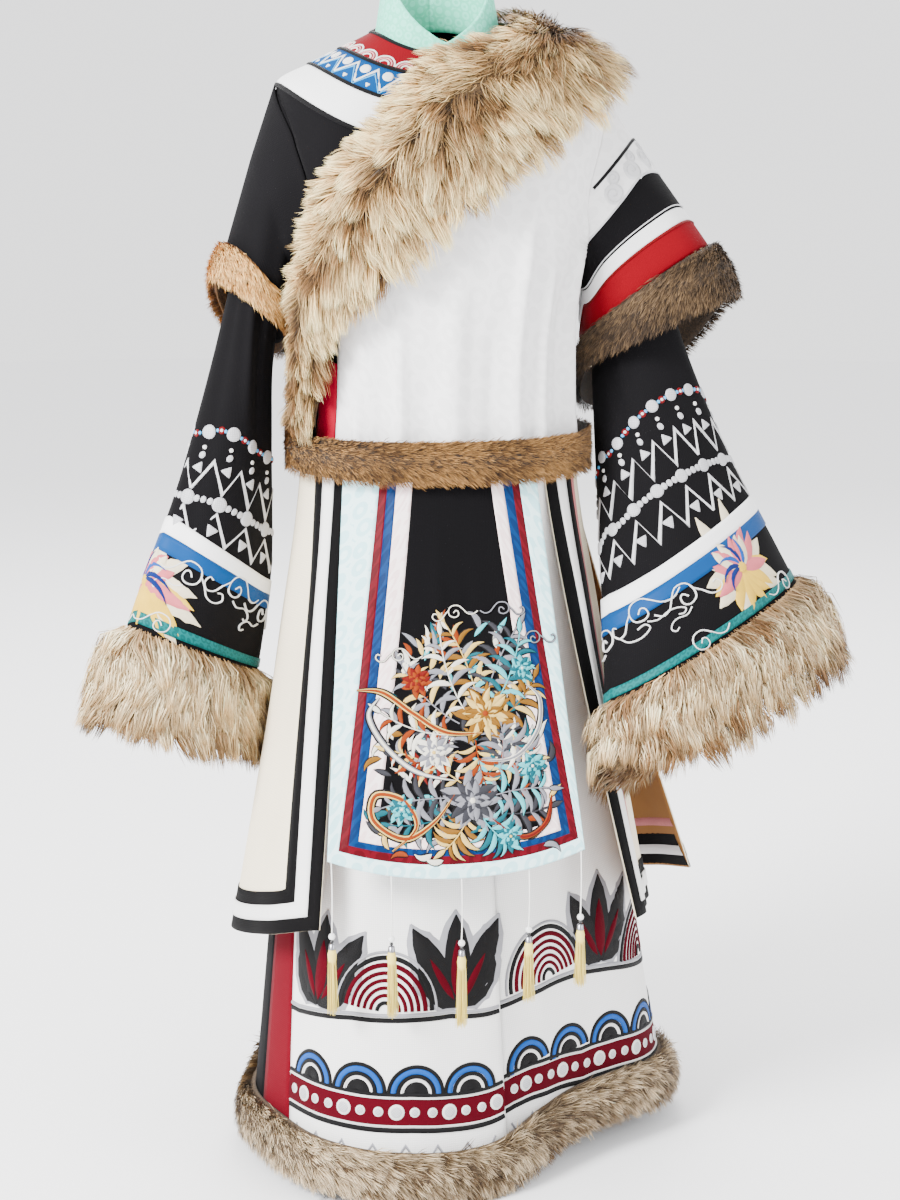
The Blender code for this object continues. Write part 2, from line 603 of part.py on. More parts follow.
def apron_line(i):
    """Left side down, hem across and right side up, for one of the lines that part the bands."""
    get = {name: values[i] for name, values in APRON_LINES.items()}
    share = np.linspace(0, 1, APRON_STEPS + 1)
    across = np.concatenate([mix(get["left_top"], get["left_hem"], share),
                             mix(get["left_hem"], get["right_hem"], share)[1:],
                             mix(get["right_hem"], get["right_top"], share)[1:]])
    down = np.concatenate([share * get["hem"], np.full(APRON_STEPS, get["hem"]),
                           (1 - share[1:]) * get["hem"]])
    return across, down


def apron_pieces():
    share, down = grid(np.linspace(0, 1, APRON_STEPS + 1), np.linspace(0, 1, APRON_STEPS + 1))
    get = {name: values[0] for name, values in APRON_LINES.items()}
    left, right = (mix(get[word + "_top"], get[word + "_hem"], down) for word in ("left", "right"))
    across = mix(left, right, share)
    wall("apron_centre", apron, across, down * get["hem"], 0.0, CLOTH, "121115")
    for i, (name, colour) in enumerate(APRON_BANDS):
        inside, outside = apron_line(i), apron_line(i + 1)
        across, down = np.stack([inside[0], outside[0]], 1), np.stack([inside[1], outside[1]], 1)
        wall(name, apron, across, down, 0.0, CLOTH, colour)


# Tassels: where each thread leaves the apron's hem, across it, and how far down its bead hangs
TASSELS = table("across drop length", (
    (-97, 0.082, 0.097), (-52, 0.070, 0.098), (2, 0.072, 0.106), (55, 0.068, 0.092), (97, 0.074, 0.088)))
THREAD_POINTS = 12
TASSEL_HEAD = ((0.0038, -0.0024), (0.0038, -0.0060), (0.0020, -0.0086), (0.0038, -0.0120), (0.0040, -0.0190),
               (0.0062, -0.0285))


def hem_point(across):
    """Middle of the apron's hem, on the straight line between the two nearest points of its net."""
    at = (across + 100) / 200 * APRON_STEPS
    low = min(int(at), APRON_STEPS - 1)
    columns = np.array((low, low + 1)) / APRON_STEPS * 200 - 100
    ends = lifted(apron, columns, np.ones(2), CLOTH / 2)
    return mix(ends[0], ends[1], at - low)


def tassels():
    rows = zip(TASSELS["across"], TASSELS["drop"], TASSELS["length"])
    for number, (across, drop, length) in enumerate(rows, 1):
        top = hem_point(across)
        thread(number, top, drop)
        tassel(number, top - np.array((0, 0, drop + 2 * SEAM)), length)


def thread(number, top, drop):
    """A white thread that hangs from the apron's hem to its bead."""
    curve = bpy.data.curves.new("tassel_thread_%d" % number, "CURVE")
    curve.dimensions = "3D"
    curve.bevel_depth = THREAD / 2
    curve.bevel_resolution = 2
    curve.use_fill_caps = True
    line = curve.splines.new("POLY")
    line.points.add(THREAD_POINTS - 1)
    for point, share in zip(line.points, np.linspace(0, 1, THREAD_POINTS)):
        sway = 0.0006 * math.sin(math.pi * share)
        point.co = (top[0] + sway, top[1] - sway, top[2] - SEAM - drop * share, 1.0)
    obj = bpy.data.objects.new(curve.name, curve)
    obj.data.materials.append(dyed(curve.name, "f1efe9", 0.6))
    bpy.context.collection.objects.link(obj)


def tassel(number, top, length):
    """White bead on a cap, a bound head and locks of silk, each drawn out of the head's underside."""
    sides = TASSEL_LOCKS
    verts = [(0, 0, 0)]
    for radius, height in TASSEL_HEAD:
        for turn in np.linspace(0, 2 * math.pi, sides, endpoint=False):
            verts.append((radius * math.cos(turn), radius * math.sin(turn), height))
    faces = []
    for i in range(sides):
        k = (i + 1) % sides
        faces.append((0, 1 + i, 1 + k))
        for ring in range(len(TASSEL_HEAD) - 1):
            a, b = 1 + ring * sides, 1 + (ring + 1) * sides
            faces.append((a + i, b + i, b + k, a + k))
    base = 1 + (len(TASSEL_HEAD) - 1) * sides
    middle = len(verts)
    verts.append((0, 0, TASSEL_HEAD[-1][1]))
    for i in range(sides):
        k = (i + 1) % sides
        lock(verts, faces, (middle, base + k, base + i), 0.004 * math.cos(2.4 * i) - length)
    finish("tassel_%d" % number, np.array(verts) + top, faces, "f1e6ae", 0.45)


def lock(verts, faces, root, tip):
    """One lock: the sector of the head's underside, drawn in at once, then down to its tip."""
    corners = np.array([verts[i] for i in root], float)
    centre = corners.mean(0)
    ring = list(root)
    for share, scale, spread in ((0.02, 0.80, 1.0), (1.0, 0.70, 2.2)):
        place = centre * (spread, spread, 0) + (0, 0, mix(centre[2], tip, share))
        start = len(verts)
        for corner in corners:
            verts.append(tuple(place + (corner - centre) * (scale, scale, 0)))
        for a in range(3):
            b = (a + 1) % 3
            faces.append((ring[a], ring[b], start + b, start + a))
        ring = [start, start + 1, start + 2]
    faces.append(tuple(ring))


# Furs. Each is a closed pad on the cloth under it, as deep as its hair stands and as wide as it reaches.
def rounded(share, edge=0.12):
    """Height of a pile across its width, from its edge at 0 to the other at 1."""
    return edge + (1 - edge) * np.sin(math.pi * np.clip(share, 0, 1)) ** 0.7


def pad(name, surface, u, v, level, height, colour, side=1, closed=False):
    outer = lifted(surface, u, v, np.add(level, height), side)
    inner = lifted(surface, u, v, level, side)
    return between(name, outer, inner, colour, 0.95, closed)


# Long-haired collar: its neck side and its low side, from the right waist up to the left shoulder
COLLAR_FUR = table("high_angle back_angle high_row low_angle low_row", (
    (-84, -72, 9.55, -62, 9.55), (-82, -70, 8.5, -56, 8.6), (-74, -66, 7.4, -46, 7.6),
    (-57, -55, 6.1, -31, 6.8), (-46, -45, 4.7, -16, 5.75), (-35, -35, 3.6, -4, 4.8), (-25, -25, 2.65, 9, 4.0),
    (-19, -19, 1.55, 22, 3.35), (-9, -9, 0.5, 42, 3.1), (22, 22, 0.1, 66, 3.05), (90, 90, 0.0, 90, 3.05)))
COLLAR_STATIONS = 18
COLLAR_CROSS = (0.0, 0.12, 0.35, 0.65, 0.88, 1.0)
COLLAR_LEVEL = 0.0142


def fur_collar():
    station, share = grid(np.linspace(0, 10, COLLAR_STATIONS + 1), COLLAR_CROSS)
    get = {name: smooth(values, station) for name, values in COLLAR_FUR.items()}
    row = mix(get["high_row"], get["low_row"], share)
    height = mix(0.018, COLLAR_FUR_DEPTH, np.clip(station / 4, 0, 1)) * rounded(share)
    angle = mix(get["high_angle"], get["low_angle"], share)
    pad("fur_collar_front", torso, angle, row, COLLAR_LEVEL, height, "c2ac8a")
    angle = 180 - mix(get["back_angle"], get["low_angle"], share)
    pad("fur_collar_back", torso, angle, row, COLLAR_LEVEL, height, "c2ac8a")


def belt_line(angle, down):
    """Upright band round the waist; down is in metres from its middle."""
    place = torso(angle, WAIST)
    place[..., 2] -= down
    return place


def fur_belt():
    angle, share = grid(turns(2 * TORSO_COLUMNS), np.linspace(0, 1, 5))
    height = BELT_DEPTH * rounded(share, 0.3)
    ease = 0.003 * (2 * share - 1) ** 4
    pad("fur_belt", belt_line, angle, (share - 0.5) * BELT_HEIGHT, BELT_LEVEL + ease, height, "8d7453",
        closed=True)


HAIR_FALL = 0.45
ARM_FURS = (("left", left_over, -1, -0.004, 0.066, 0.023), ("right", right_over, 1, -0.020, 0.024, 0.017))


def cuff_line(surface, turn, down):
    """Past a sleeve's hem the hair runs on along the sleeve and falls; down is in metres from the hem."""
    turn, down = np.broadcast_arrays(np.asarray(turn, float), np.asarray(down, float))
    hem = surface(turn, np.ones_like(turn))
    along = hem - surface(turn, np.full_like(turn, 0.97))
    along = along / np.linalg.norm(along, axis=-1, keepdims=True)
    fall = along + np.array((0.0, 0.0, -HAIR_FALL))
    fall = fall / np.linalg.norm(fall, axis=-1, keepdims=True)
    return hem + np.where(down[..., None] > 0, fall, along) * down[..., None]


def cuff_furs():
    """Long-haired cuffs, deepest on the outer side and thin next to the body."""
    turn_line = np.linspace(0, 360, SLEEVE_COLUMNS, endpoint=False)
    for word, surface, side in (("left", left_sleeve, -1), ("right", right_sleeve, 1)):
        turn, share = grid(turn_line, (0.0, 0.14, 0.45, 0.8, 1.0))
        depth = mix(0.008, CUFF_FUR_DEPTH, (1 + np.cos(np.radians(turn - 25))) / 2)
        height = depth * np.array((0.35, 0.75, 1.0, 0.8, 0.25))
        length = CUFF_FUR_LENGTH * mix(1.0, 0.5, ((1 - np.cos(np.radians(turn))) / 2) ** 12)
        pad(word + "_cuff_fur", lambda t, d, s=surface: cuff_line(s, t, d), turn,
            mix(-0.009, length, share), 0.001, height, "cdb896", side, True)
    for word, surface, side, start, end, depth in ARM_FURS:
        turn, share = grid(turn_line, np.linspace(0, 1, 5))
        near_body = (1 - np.cos(np.radians(turn))) / 2
        height = depth * rounded(share, 0.3) * mix(1.0, 0.4, near_body ** 3)
        pad(word + "_oversleeve_fur", lambda t, d, s=surface: cuff_line(s, t, d), turn,
            mix(start, end * mix(1.0, 0.55, near_body ** 2), share), 0.001, height, "7d6a55", side, True)


def hem_fur():
    """Fur band sewn on round the hem, on the same lines as the panels under it."""
    share = np.array((0.0, 0.3, 0.7, 1.0))
    angle, run = [], []
    for _, _, first, last, columns, _ in SKIRT_PANELS:
        for part in np.arange(columns) / columns:
            start = mix(first[0], last[0], part), mix(first[1], last[1], part)
            length = hang_length(skirt, start[1])
            line = 1 + (HEM_FUR_OVER - HEM_FUR_HEIGHT * (1 - share)) / length
            run.append(line)
            angle.append(mix(start[0], start[1], line))
    height = HEM_FUR_DEPTH * rounded(share, 0.25)
    pad("hem_fur", skirt, np.array(angle), np.array(run), CLOTH + 0.001, height, "85725c", closed=True)


def main():
    for obj in list(bpy.data.objects):
        bpy.data.objects.remove(obj, do_unlink=True)
    underrobe()
    yoke()
    inner_collar()
    over_robe()
    sleeves()
    over_sleeves()
    skirts()
    robe_skirts()
    apron_pieces()
    tassels()
    fur_collar()
    fur_belt()
    cuff_furs()
    hem_fur()


main()
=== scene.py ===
import math

import bpy
import numpy as np
from mathutils import Matrix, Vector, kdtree


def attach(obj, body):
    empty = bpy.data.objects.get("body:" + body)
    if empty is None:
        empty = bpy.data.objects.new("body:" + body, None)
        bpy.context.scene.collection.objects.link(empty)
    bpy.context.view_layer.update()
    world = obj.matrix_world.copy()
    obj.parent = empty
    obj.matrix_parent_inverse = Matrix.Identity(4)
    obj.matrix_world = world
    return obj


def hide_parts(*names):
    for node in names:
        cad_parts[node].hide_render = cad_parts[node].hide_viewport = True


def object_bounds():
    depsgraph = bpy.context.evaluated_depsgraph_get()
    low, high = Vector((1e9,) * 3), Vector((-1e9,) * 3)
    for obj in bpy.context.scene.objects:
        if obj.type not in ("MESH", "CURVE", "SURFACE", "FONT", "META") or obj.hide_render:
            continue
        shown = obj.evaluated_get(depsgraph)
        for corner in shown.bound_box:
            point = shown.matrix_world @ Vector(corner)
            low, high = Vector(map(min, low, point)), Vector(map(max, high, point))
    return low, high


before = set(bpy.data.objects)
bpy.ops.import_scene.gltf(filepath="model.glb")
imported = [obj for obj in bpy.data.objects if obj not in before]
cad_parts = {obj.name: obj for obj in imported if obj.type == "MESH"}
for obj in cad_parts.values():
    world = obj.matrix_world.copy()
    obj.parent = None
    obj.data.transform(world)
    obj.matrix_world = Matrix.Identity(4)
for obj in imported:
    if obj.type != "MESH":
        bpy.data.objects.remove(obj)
cad_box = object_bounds()


# Studio: a plain pale floor just under the hem, a pale room that lights from all sides, a soft lamp on the
# wearer's right and weaker ones on the left and behind. The camera stands 3 m off, a little above the middle
# of the robe.
FLOOR_Z = cad_box[0][2] - 0.006
FLOOR_RADIUS, FLOOR_SIDES = 9, 64
CAMERA_SWING, CAMERA_RISE = math.radians(-9), math.radians(11.6)
CAMERA_REACH = 3.0
CAMERA_LENS = 75
CAMERA_AIM = np.array((0.019, 0.0, -0.674))
ROOM_LIGHT = 2.1
LAMPS = (("lamp_right", (-3.0, -2.1, 1.6), 1.5, 560), ("lamp_left", (2.6, -2.2, 0.8), 1.8, 60),
         ("lamp_back", (0.6, 2.8, 1.6), 2.0, 150))


def linear(code, gain=1.0):
    """Linear colour from an sRGB hex code, deeper or paler by a gain."""
    channels = [int(code[i:i + 2], 16) / 255 for i in (0, 2, 4)]
    straight = [c / 12.92 if c <= 0.04045 else ((c + 0.055) / 1.055) ** 2.4 for c in channels]
    return [min(c * gain, 1.0) for c in straight] + [1.0]


def fit(tree, node, inputs):
    """Sets a node's inputs; each is a value, or the output of another node."""
    for name, value in inputs.items():
        if isinstance(value, bpy.types.NodeSocket):
            tree.links.new(value, node.inputs[name])
        else:
            node.inputs[name].default_value = value


def add(tree, kind, result, inputs, **settings):
    """Adds a node with its settings and inputs, and gives the output named."""
    node = tree.nodes.new("ShaderNode" + kind)
    for name, value in settings.items():
        setattr(node, name, value)
    fit(tree, node, inputs)
    return node.outputs[result]


def fresh(name):
    """A new material, its node tree and its shader."""
    material = bpy.data.materials.new(name)
    material.use_nodes = True
    return material, material.node_tree, material.node_tree.nodes["Principled BSDF"]


def placed(name, data):
    """A new object in the scene."""
    thing = bpy.data.objects.new(name, data)
    bpy.context.scene.collection.objects.link(thing)
    return thing


def floor_paper():
    """Seamless studio paper: matte, very slightly uneven."""
    material, tree, shader = fresh("studio_paper")
    cloud = add(tree, "TexNoise", "Fac", {"Scale": 1.4, "Detail": 3.0})
    shade = add(tree, "Mix", "Result", {"Factor": cloud, "A": linear("f4f4f5"), "B": linear("f8f8f9")},
                data_type="RGBA")
    fit(tree, shader, {"Base Color": shade, "Roughness": 0.9})
    return material


floor_turns = np.linspace(0, 2 * math.pi, FLOOR_SIDES, endpoint=False)
floor_mesh = bpy.data.meshes.new("floor")
floor_mesh.from_pydata([(FLOOR_RADIUS * math.cos(t), FLOOR_RADIUS * math.sin(t), FLOOR_Z)
                        for t in floor_turns], [], [list(range(FLOOR_SIDES))])
floor_mesh.materials.append(floor_paper())
placed("floor", floor_mesh)

room = bpy.data.worlds.new("pale_room")
room.use_nodes = True
fit(room.node_tree, room.node_tree.nodes["Background"], {"Color": linear("fbfbfc"), "Strength": ROOM_LIGHT})
bpy.context.scene.world = room

for name, spot, size, power in LAMPS:
    lamp = placed(name, bpy.data.lights.new(name, "AREA"))
    lamp.data.shape = "DISK"
    lamp.data.size = size
    lamp.data.energy = power
    toward = np.array(spot) - CAMERA_AIM
    lamp.location = spot
    lamp.rotation_euler = (math.atan2(math.hypot(toward[0], toward[1]), toward[2]), 0,
                           math.atan2(toward[0], -toward[1]))

camera = placed("camera", bpy.data.cameras.new("camera"))
camera.data.lens = CAMERA_LENS
camera.data.sensor_width = 36
back = np.array((math.sin(CAMERA_SWING) * math.cos(CAMERA_RISE),
                 -math.cos(CAMERA_SWING) * math.cos(CAMERA_RISE), math.sin(CAMERA_RISE)))
right = np.array((math.cos(CAMERA_SWING), math.sin(CAMERA_SWING), 0.0))
up = np.cross(back, right)
seat = CAMERA_AIM + CAMERA_REACH * back
camera.matrix_world = Matrix([(right[i], up[i], back[i], seat[i]) for i in range(3)] + [(0, 0, 0, 1)])
bpy.context.scene.camera = camera


# Under-robe: black plain-woven wool cloth, one front and one back cut to the round neckline. Nothing shows of
# it but the wearer's right shoulder. A section of the torso is a ring at one distance down from the neck.
CLOTH = 0.0016
TRIM = 0.0010
LAY = 0.0004
LEAST_FILL = 0.31
WAVE = 0.314
STEP_ROUND = 0.5
STEP_DOWN = 0.004


def table(names, rows):
    """Columns of a section table, by name."""
    return {name: np.array([row[i] for row in rows], float) for i, name in enumerate(names.split())}


def mix(a, b, part):
    """A part of the way from a to b."""
    return a + (b - a) * part


def smooth(values, at):
    """Smooth curve through values at 0, 1, 2 and so on that never overshoots, straight past both ends."""
    v = np.asarray(values, float)
    at = np.asarray(at, float)
    rise = np.diff(v)
    slope = np.empty(len(v))
    slope[0], slope[-1] = rise[0], rise[-1]
    same = rise[:-1] * rise[1:] > 0
    total = np.where(same, rise[:-1] + rise[1:], 1.0)
    slope[1:-1] = np.where(same, 2 * rise[:-1] * rise[1:] / total, 0.0)
    i = np.clip(np.floor(at), 0, len(v) - 2).astype(int)
    f = at - i
    g = np.clip(f, 0, 1)
    inside = (v[i] * (1 + 2 * g) * (1 - g) ** 2 + v[i + 1] * g * g * (3 - 2 * g)
              + slope[i] * g * (1 - g) ** 2 - slope[i + 1] * g * g * (1 - g))
    return inside + (f - g) * np.where(f > 0, slope[i + 1], slope[i])


def flowing(a, b, c, d, part):
    """A part of the way from b to c on the smooth curve through a, b, c and d."""
    return b + 0.5 * part * (c - a + part * (2 * a - 5 * b + 4 * c - d + part * (3 * (b - c) + d - a)))


def around(values, angle):
    """Smooth closed curve through values spaced evenly round the body from the centre back, -180 degrees."""
    v = np.asarray(values, float)
    count = len(v)
    at = (np.asarray(angle, float) + 180) * count / 360
    i = np.floor(at).astype(int)
    return flowing(*(v[(i + step) % count] for step in (-1, 0, 1, 2)), at - i)


def points(x, y, z):
    return np.stack(np.broadcast_arrays(x, y, z), -1).astype(float)


def unit(vectors):
    return vectors / np.maximum(np.linalg.norm(vectors, axis=-1, keepdims=True), 1e-12)


def grid(u, v):
    return np.meshgrid(np.asarray(u, float), np.asarray(v, float), indexing="ij")


def cloth_place(surface, side=1, creases=None):
    """Gives where a point of a cloth lies: on its surface, out by its creases and by a level above it."""
    def place(u, v, level=0.0):
        u, v, level = np.broadcast_arrays(*(np.asarray(value, float) for value in (u, v, level)))
        across = surface(u + STEP_ROUND, v) - surface(u - STEP_ROUND, v)
        along = surface(u, v + STEP_DOWN) - surface(u, v - STEP_DOWN)
        out = unit(np.cross(along, across) * side)
        rise = creases(u, v) if creases else 0.0
        return surface(u, v) + out * (level + rise)[..., None]
    return place


def creases(rows):
    """Soft ridges and troughs along straight lines: from (u, v) to (u, v), half width in u, and height."""
    def rise(u, v):
        total = np.zeros(np.broadcast(u, v).shape)
        for u0, v0, u1, v1, wide, high in rows:
            part = (v - v0) / (v1 - v0)
            off = (u - mix(u0, u1, np.clip(part, 0, 1)) + 180) % 360 - 180
            fade = np.clip(np.minimum(part, 1 - part) * 4, 0, 1)
            total += high * np.exp(-(off / wide) ** 2) * fade * fade * (3 - 2 * fade)
        return total
    return rise


TORSO = table("side_x side_z front_y front_z back_y back_z edge", (
    (0.073, -0.010, 0.070, -0.034, 0.064, 0.004, 90),
    (0.112, -0.029, 0.098, -0.060, 0.082, -0.024, 90),
    (0.147, -0.046, 0.118, -0.092, 0.096, -0.058, 90),
    (0.184, -0.068, 0.130, -0.134, 0.106, -0.100, 90),
    (0.187, -0.110, 0.136, -0.180, 0.112, -0.150, 64),
    (0.180, -0.160, 0.140, -0.225, 0.115, -0.205, 58),
    (0.170, -0.215, 0.142, -0.275, 0.114, -0.262, 64),
    (0.160, -0.262, 0.142, -0.322, 0.112, -0.315, 90),
    (0.152, -0.335, 0.141, -0.378, 0.109, -0.375, 90),
    (0.153, -0.410, 0.140, -0.432, 0.109, -0.430, 90),
    (0.158, -0.484, 0.140, -0.484, 0.112, -0.484, 90)))
NECK, RED_EDGE, BLUE_EDGE, SHOULDER, UNDERARM, WAIST = 0, 1, 2, 3, 7, 10
TORSO_CENTRE = 0.004
ROUNDNESS = 2.4


def torso(angle, row):
    """Angle 0 is the centre front and 90 the wearer's left; row runs from the neck to the waist."""
    sine, cosine = np.sin(np.radians(angle)), np.cos(np.radians(angle))
    power = 2 / ROUNDNESS
    front = cosine > 0
    depth = np.where(front, smooth(TORSO["front_y"], row), smooth(TORSO["back_y"], row))
    end_z = np.where(front, smooth(TORSO["front_z"], row), smooth(TORSO["back_z"], row))
    side_z = smooth(TORSO["side_z"], row)
    x = TORSO_CENTRE + smooth(TORSO["side_x"], row) * np.sign(sine) * np.abs(sine) ** power
    y = -depth * np.sign(cosine) * np.abs(cosine) ** power
    return points(x, y, side_z + (end_z - side_z) * cosine ** 2)


def quads(count, rows, closed=False):
    """Faces of a net of points, and the places of their corners in the net with its last line repeated."""
    i, j = np.meshgrid(np.arange(count if closed else count - 1), np.arange(rows - 1), indexing="ij")
    i, j = i.ravel(), j.ravel()
    steps = ((0, 0), (0, 1), (1, 1), (1, 0))
    corners = np.stack([(i + a) * rows + j + b for a, b in steps], 1)
    return corners % (count * rows), corners


def measured(net, closed=False):
    """Distances along a net of points, across and down, in metres, with its first line repeated if closed."""
    if closed:
        net = np.concatenate([net, net[:1]])
    across = np.linalg.norm(np.diff(net, axis=0), axis=-1)
    down = np.linalg.norm(np.diff(net, axis=1), axis=-1)
    across = np.concatenate([np.zeros((1, net.shape[1])), np.cumsum(across, 0)])
    down = np.concatenate([np.zeros((net.shape[0], 1)), np.cumsum(down, 1)], 1)
    return across - across.max(0) / 2, down


def shown(name, verts, faces, corners, finishes, kinds):
    """A smooth piece of the robe; corners, where it needs them, are the UV places of its faces in metres."""
    mesh = bpy.data.meshes.new(name)
    mesh.from_pydata(verts.tolist(), [], faces)
    if corners is not None:
        layer = mesh.uv_layers.new(name="UVMap")
        layer.data.foreach_set("uv", corners.astype(np.float32).ravel())
    for finish in finishes:
        mesh.materials.append(finish)
    mesh.polygons.foreach_set("material_index", np.array(kinds, np.int32))
    mesh.shade_smooth()
    mesh.update()
    piece = placed(name, mesh)
    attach(piece, "root")
    return piece


def shell(name, outer, inner, finishes, closed=False):
    """Closed shell between two nets of points; its second finish, if it has one, is on the inner side."""
    count, rows = outer.shape[:2]
    size = count * rows
    faces, places = quads(count, rows, closed)
    flat = np.stack(measured(outer, closed), -1).reshape(-1, 2)
    sides = [faces, faces[:, ::-1] + size]
    corners = [flat[places], flat[places[:, ::-1]]]
    kinds = [np.zeros(len(faces), int), np.full(len(faces), len(finishes) - 1)]
    top = np.arange(count + closed) * rows
    edges = [top, (top + rows - 1)[::-1]]
    if not closed:
        edges += [np.arange(rows)[::-1], (count - 1) * rows + np.arange(rows)]
    for spot in edges:
        line = spot % size
        rim = np.stack([line[1:], line[:-1], line[:-1] + size, line[1:] + size], 1)[:, ::-1]
        sides.append(rim)
        corners.append(flat[np.stack([spot[1:], spot[:-1], spot[:-1], spot[1:]], 1)[:, ::-1]])
        kinds.append(np.zeros(len(rim), int))
    verts = np.concatenate([outer.reshape(-1, 3), inner.reshape(-1, 3)])
    return shown(name, verts, np.concatenate(sides).tolist(), np.concatenate(corners), finishes,
                 np.concatenate(kinds))


def sewn(name, place, u, v, low, thick, finishes, node, closed=False):
    """A cut piece of cloth: its shell, which hides the solid it stands for; the size it was cut to is worked
    out and not used.
    """
    low = np.broadcast_to(np.asarray(low, float), u.shape)
    outer = place(u, v, low + thick)
    piece = shell(name, outer, place(u, v, low), finishes, closed)
    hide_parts(node)
    across, down = measured(outer, closed)
    width, length = float(np.ptp(across, axis=0).max()), float(down[:, -1].max())
    net = np.concatenate([outer, outer[:1]]) if closed else outer
    one, two = net[1:, 1:] - net[:-1, :-1], net[1:, :-1] - net[:-1, 1:]
    area = float(np.linalg.norm(np.cross(one, two), axis=-1).sum() / 2)
    area = min(max(area, LEAST_FILL * width * length), width * length)


def clouded(tree, scale, detail, deep, pale, rough=0.5):
    """A dye that took unevenly: clouds of two tones, with a scale per metre."""
    cloud = add(tree, "TexNoise", "Fac", {"Vector": add(tree, "TexCoord", "Object", {}), "Scale": scale,
                                          "Detail": detail, "Roughness": rough})
    return add(tree, "Mix", "Result", {"Factor": cloud, "A": deep, "B": pale}, data_type="RGBA")


def painted_dip_shade(tree, colour, height, least):
    """A colour with painted shade: darker where the threads dip, where shadow falls between them."""
    shade = add(tree, "MapRange", "Result", {"Value": height, "To Min": least, "To Max": 1.0})
    return add(tree, "Mix", "Result", {"Factor": 1.0, "A": colour, "B": shade}, data_type="RGBA",
               blend_type="MULTIPLY")


def woven(name, colour, thread=1.2, sheen=0.03, uneven=0.10):
    """Plain-woven cloth: warp and weft stand a thread apart, thread in mm, and the dye is a little uneven."""
    material, tree, shader = fresh(name)
    flat = add(tree, "TexCoord", "UV", {})
    warp, weft = (add(tree, "TexWave", "Fac", {"Vector": flat, "Scale": WAVE / (2 * thread / 1000),
                                               "Distortion": 0.3, "Detail": 1.0}, bands_direction=way)
                  for way in "XY")
    threads = add(tree, "Math", "Value", {0: warp, 1: weft}, operation="MULTIPLY")
    dye = clouded(tree, 9.0, 6.0, linear(colour, 1 - 2 * uneven), linear(colour, 1 + uneven), 0.6)
    nap = add(tree, "TexNoise", "Fac", {"Vector": add(tree, "TexCoord", "Object", {}), "Scale": 34.0,
                                        "Detail": 4.0})
    height = add(tree, "Math", "Value", {0: nap, 1: 0.35, 2: threads}, operation="MULTIPLY_ADD")
    bump = add(tree, "Bump", "Normal", {"Strength": 0.35, "Distance": 0.0006, "Height": height})
    # The base colour has painted shade: it is darker in the dips between warp and weft.
    fit(tree, shader, {"Base Color": painted_dip_shade(tree, dye, threads, 0.86), "Normal": bump, "Roughness": 0.9,
                       "Sheen Weight": sheen, "Sheen Roughness": 0.4, "Specular IOR Level": 0.08})
    return material


black_wool = woven("black_wool_cloth", "0f0e10", thread=1.3, sheen=0.01, uneven=0.16)
underrobe_creases = creases((
    (-60, 3.2, -66, 7.5, 7, 0.003), (-38, 4.0, -44, 9, 6, -0.002), (120, 3.4, 126, 8, 8, 0.003),
    (-130, 3.6, -122, 9, 9, 0.003), (168, 4, 160, 9, 7, -0.002)))
underrobe_place = cloth_place(torso, creases=underrobe_creases)
underrobe_share, underrobe_row = grid(np.linspace(-1, 1, 41), np.linspace(0, WAIST, 41))
underrobe_edge = smooth(TORSO["edge"], underrobe_row)
for word, middle in (("front", 0), ("back", 180)):
    sewn("underrobe_%s_cloth" % word, underrobe_place, middle + underrobe_share * underrobe_edge,
         underrobe_row, -CLOTH, CLOTH, [black_wool], "underrobe_" + word)


# Yoke: a round yoke sewn flat on the under-robe in three rings: red at the neck, sky blue, then white cotton.
# Black cord pipes each edge; scallops are couched on the red ring, a zigzag and discs are worked on the blue.
PIPING = 0.0052
YOKE_REPEATS = 24
YOKE_COLUMNS = 96
NEEDLE_STEP = 0.003


def directions(place, u, v):
    """Directions across and down a cloth, and how far a step of u and of v goes along them."""
    across = place(u + STEP_ROUND, v) - place(u - STEP_ROUND, v)
    down = (place(u, v + NEEDLE_STEP) - place(u, v - NEEDLE_STEP)) / (2 * NEEDLE_STEP)
    reach = np.linalg.norm(across, axis=-1)
    one = across / reach[..., None]
    slip = (down * one).sum(-1)
    two = down - one * slip[..., None]
    depth = np.linalg.norm(two, axis=-1)
    return one, two / depth[..., None], reach, slip, depth


def shifted(place, u, v, right, low):
    """Spots that lie some metres right and down of others along a cloth."""
    _, _, reach, slip, depth = directions(place, u, v)
    step = low / depth
    return u + (right - slip * step) / reach, v + step


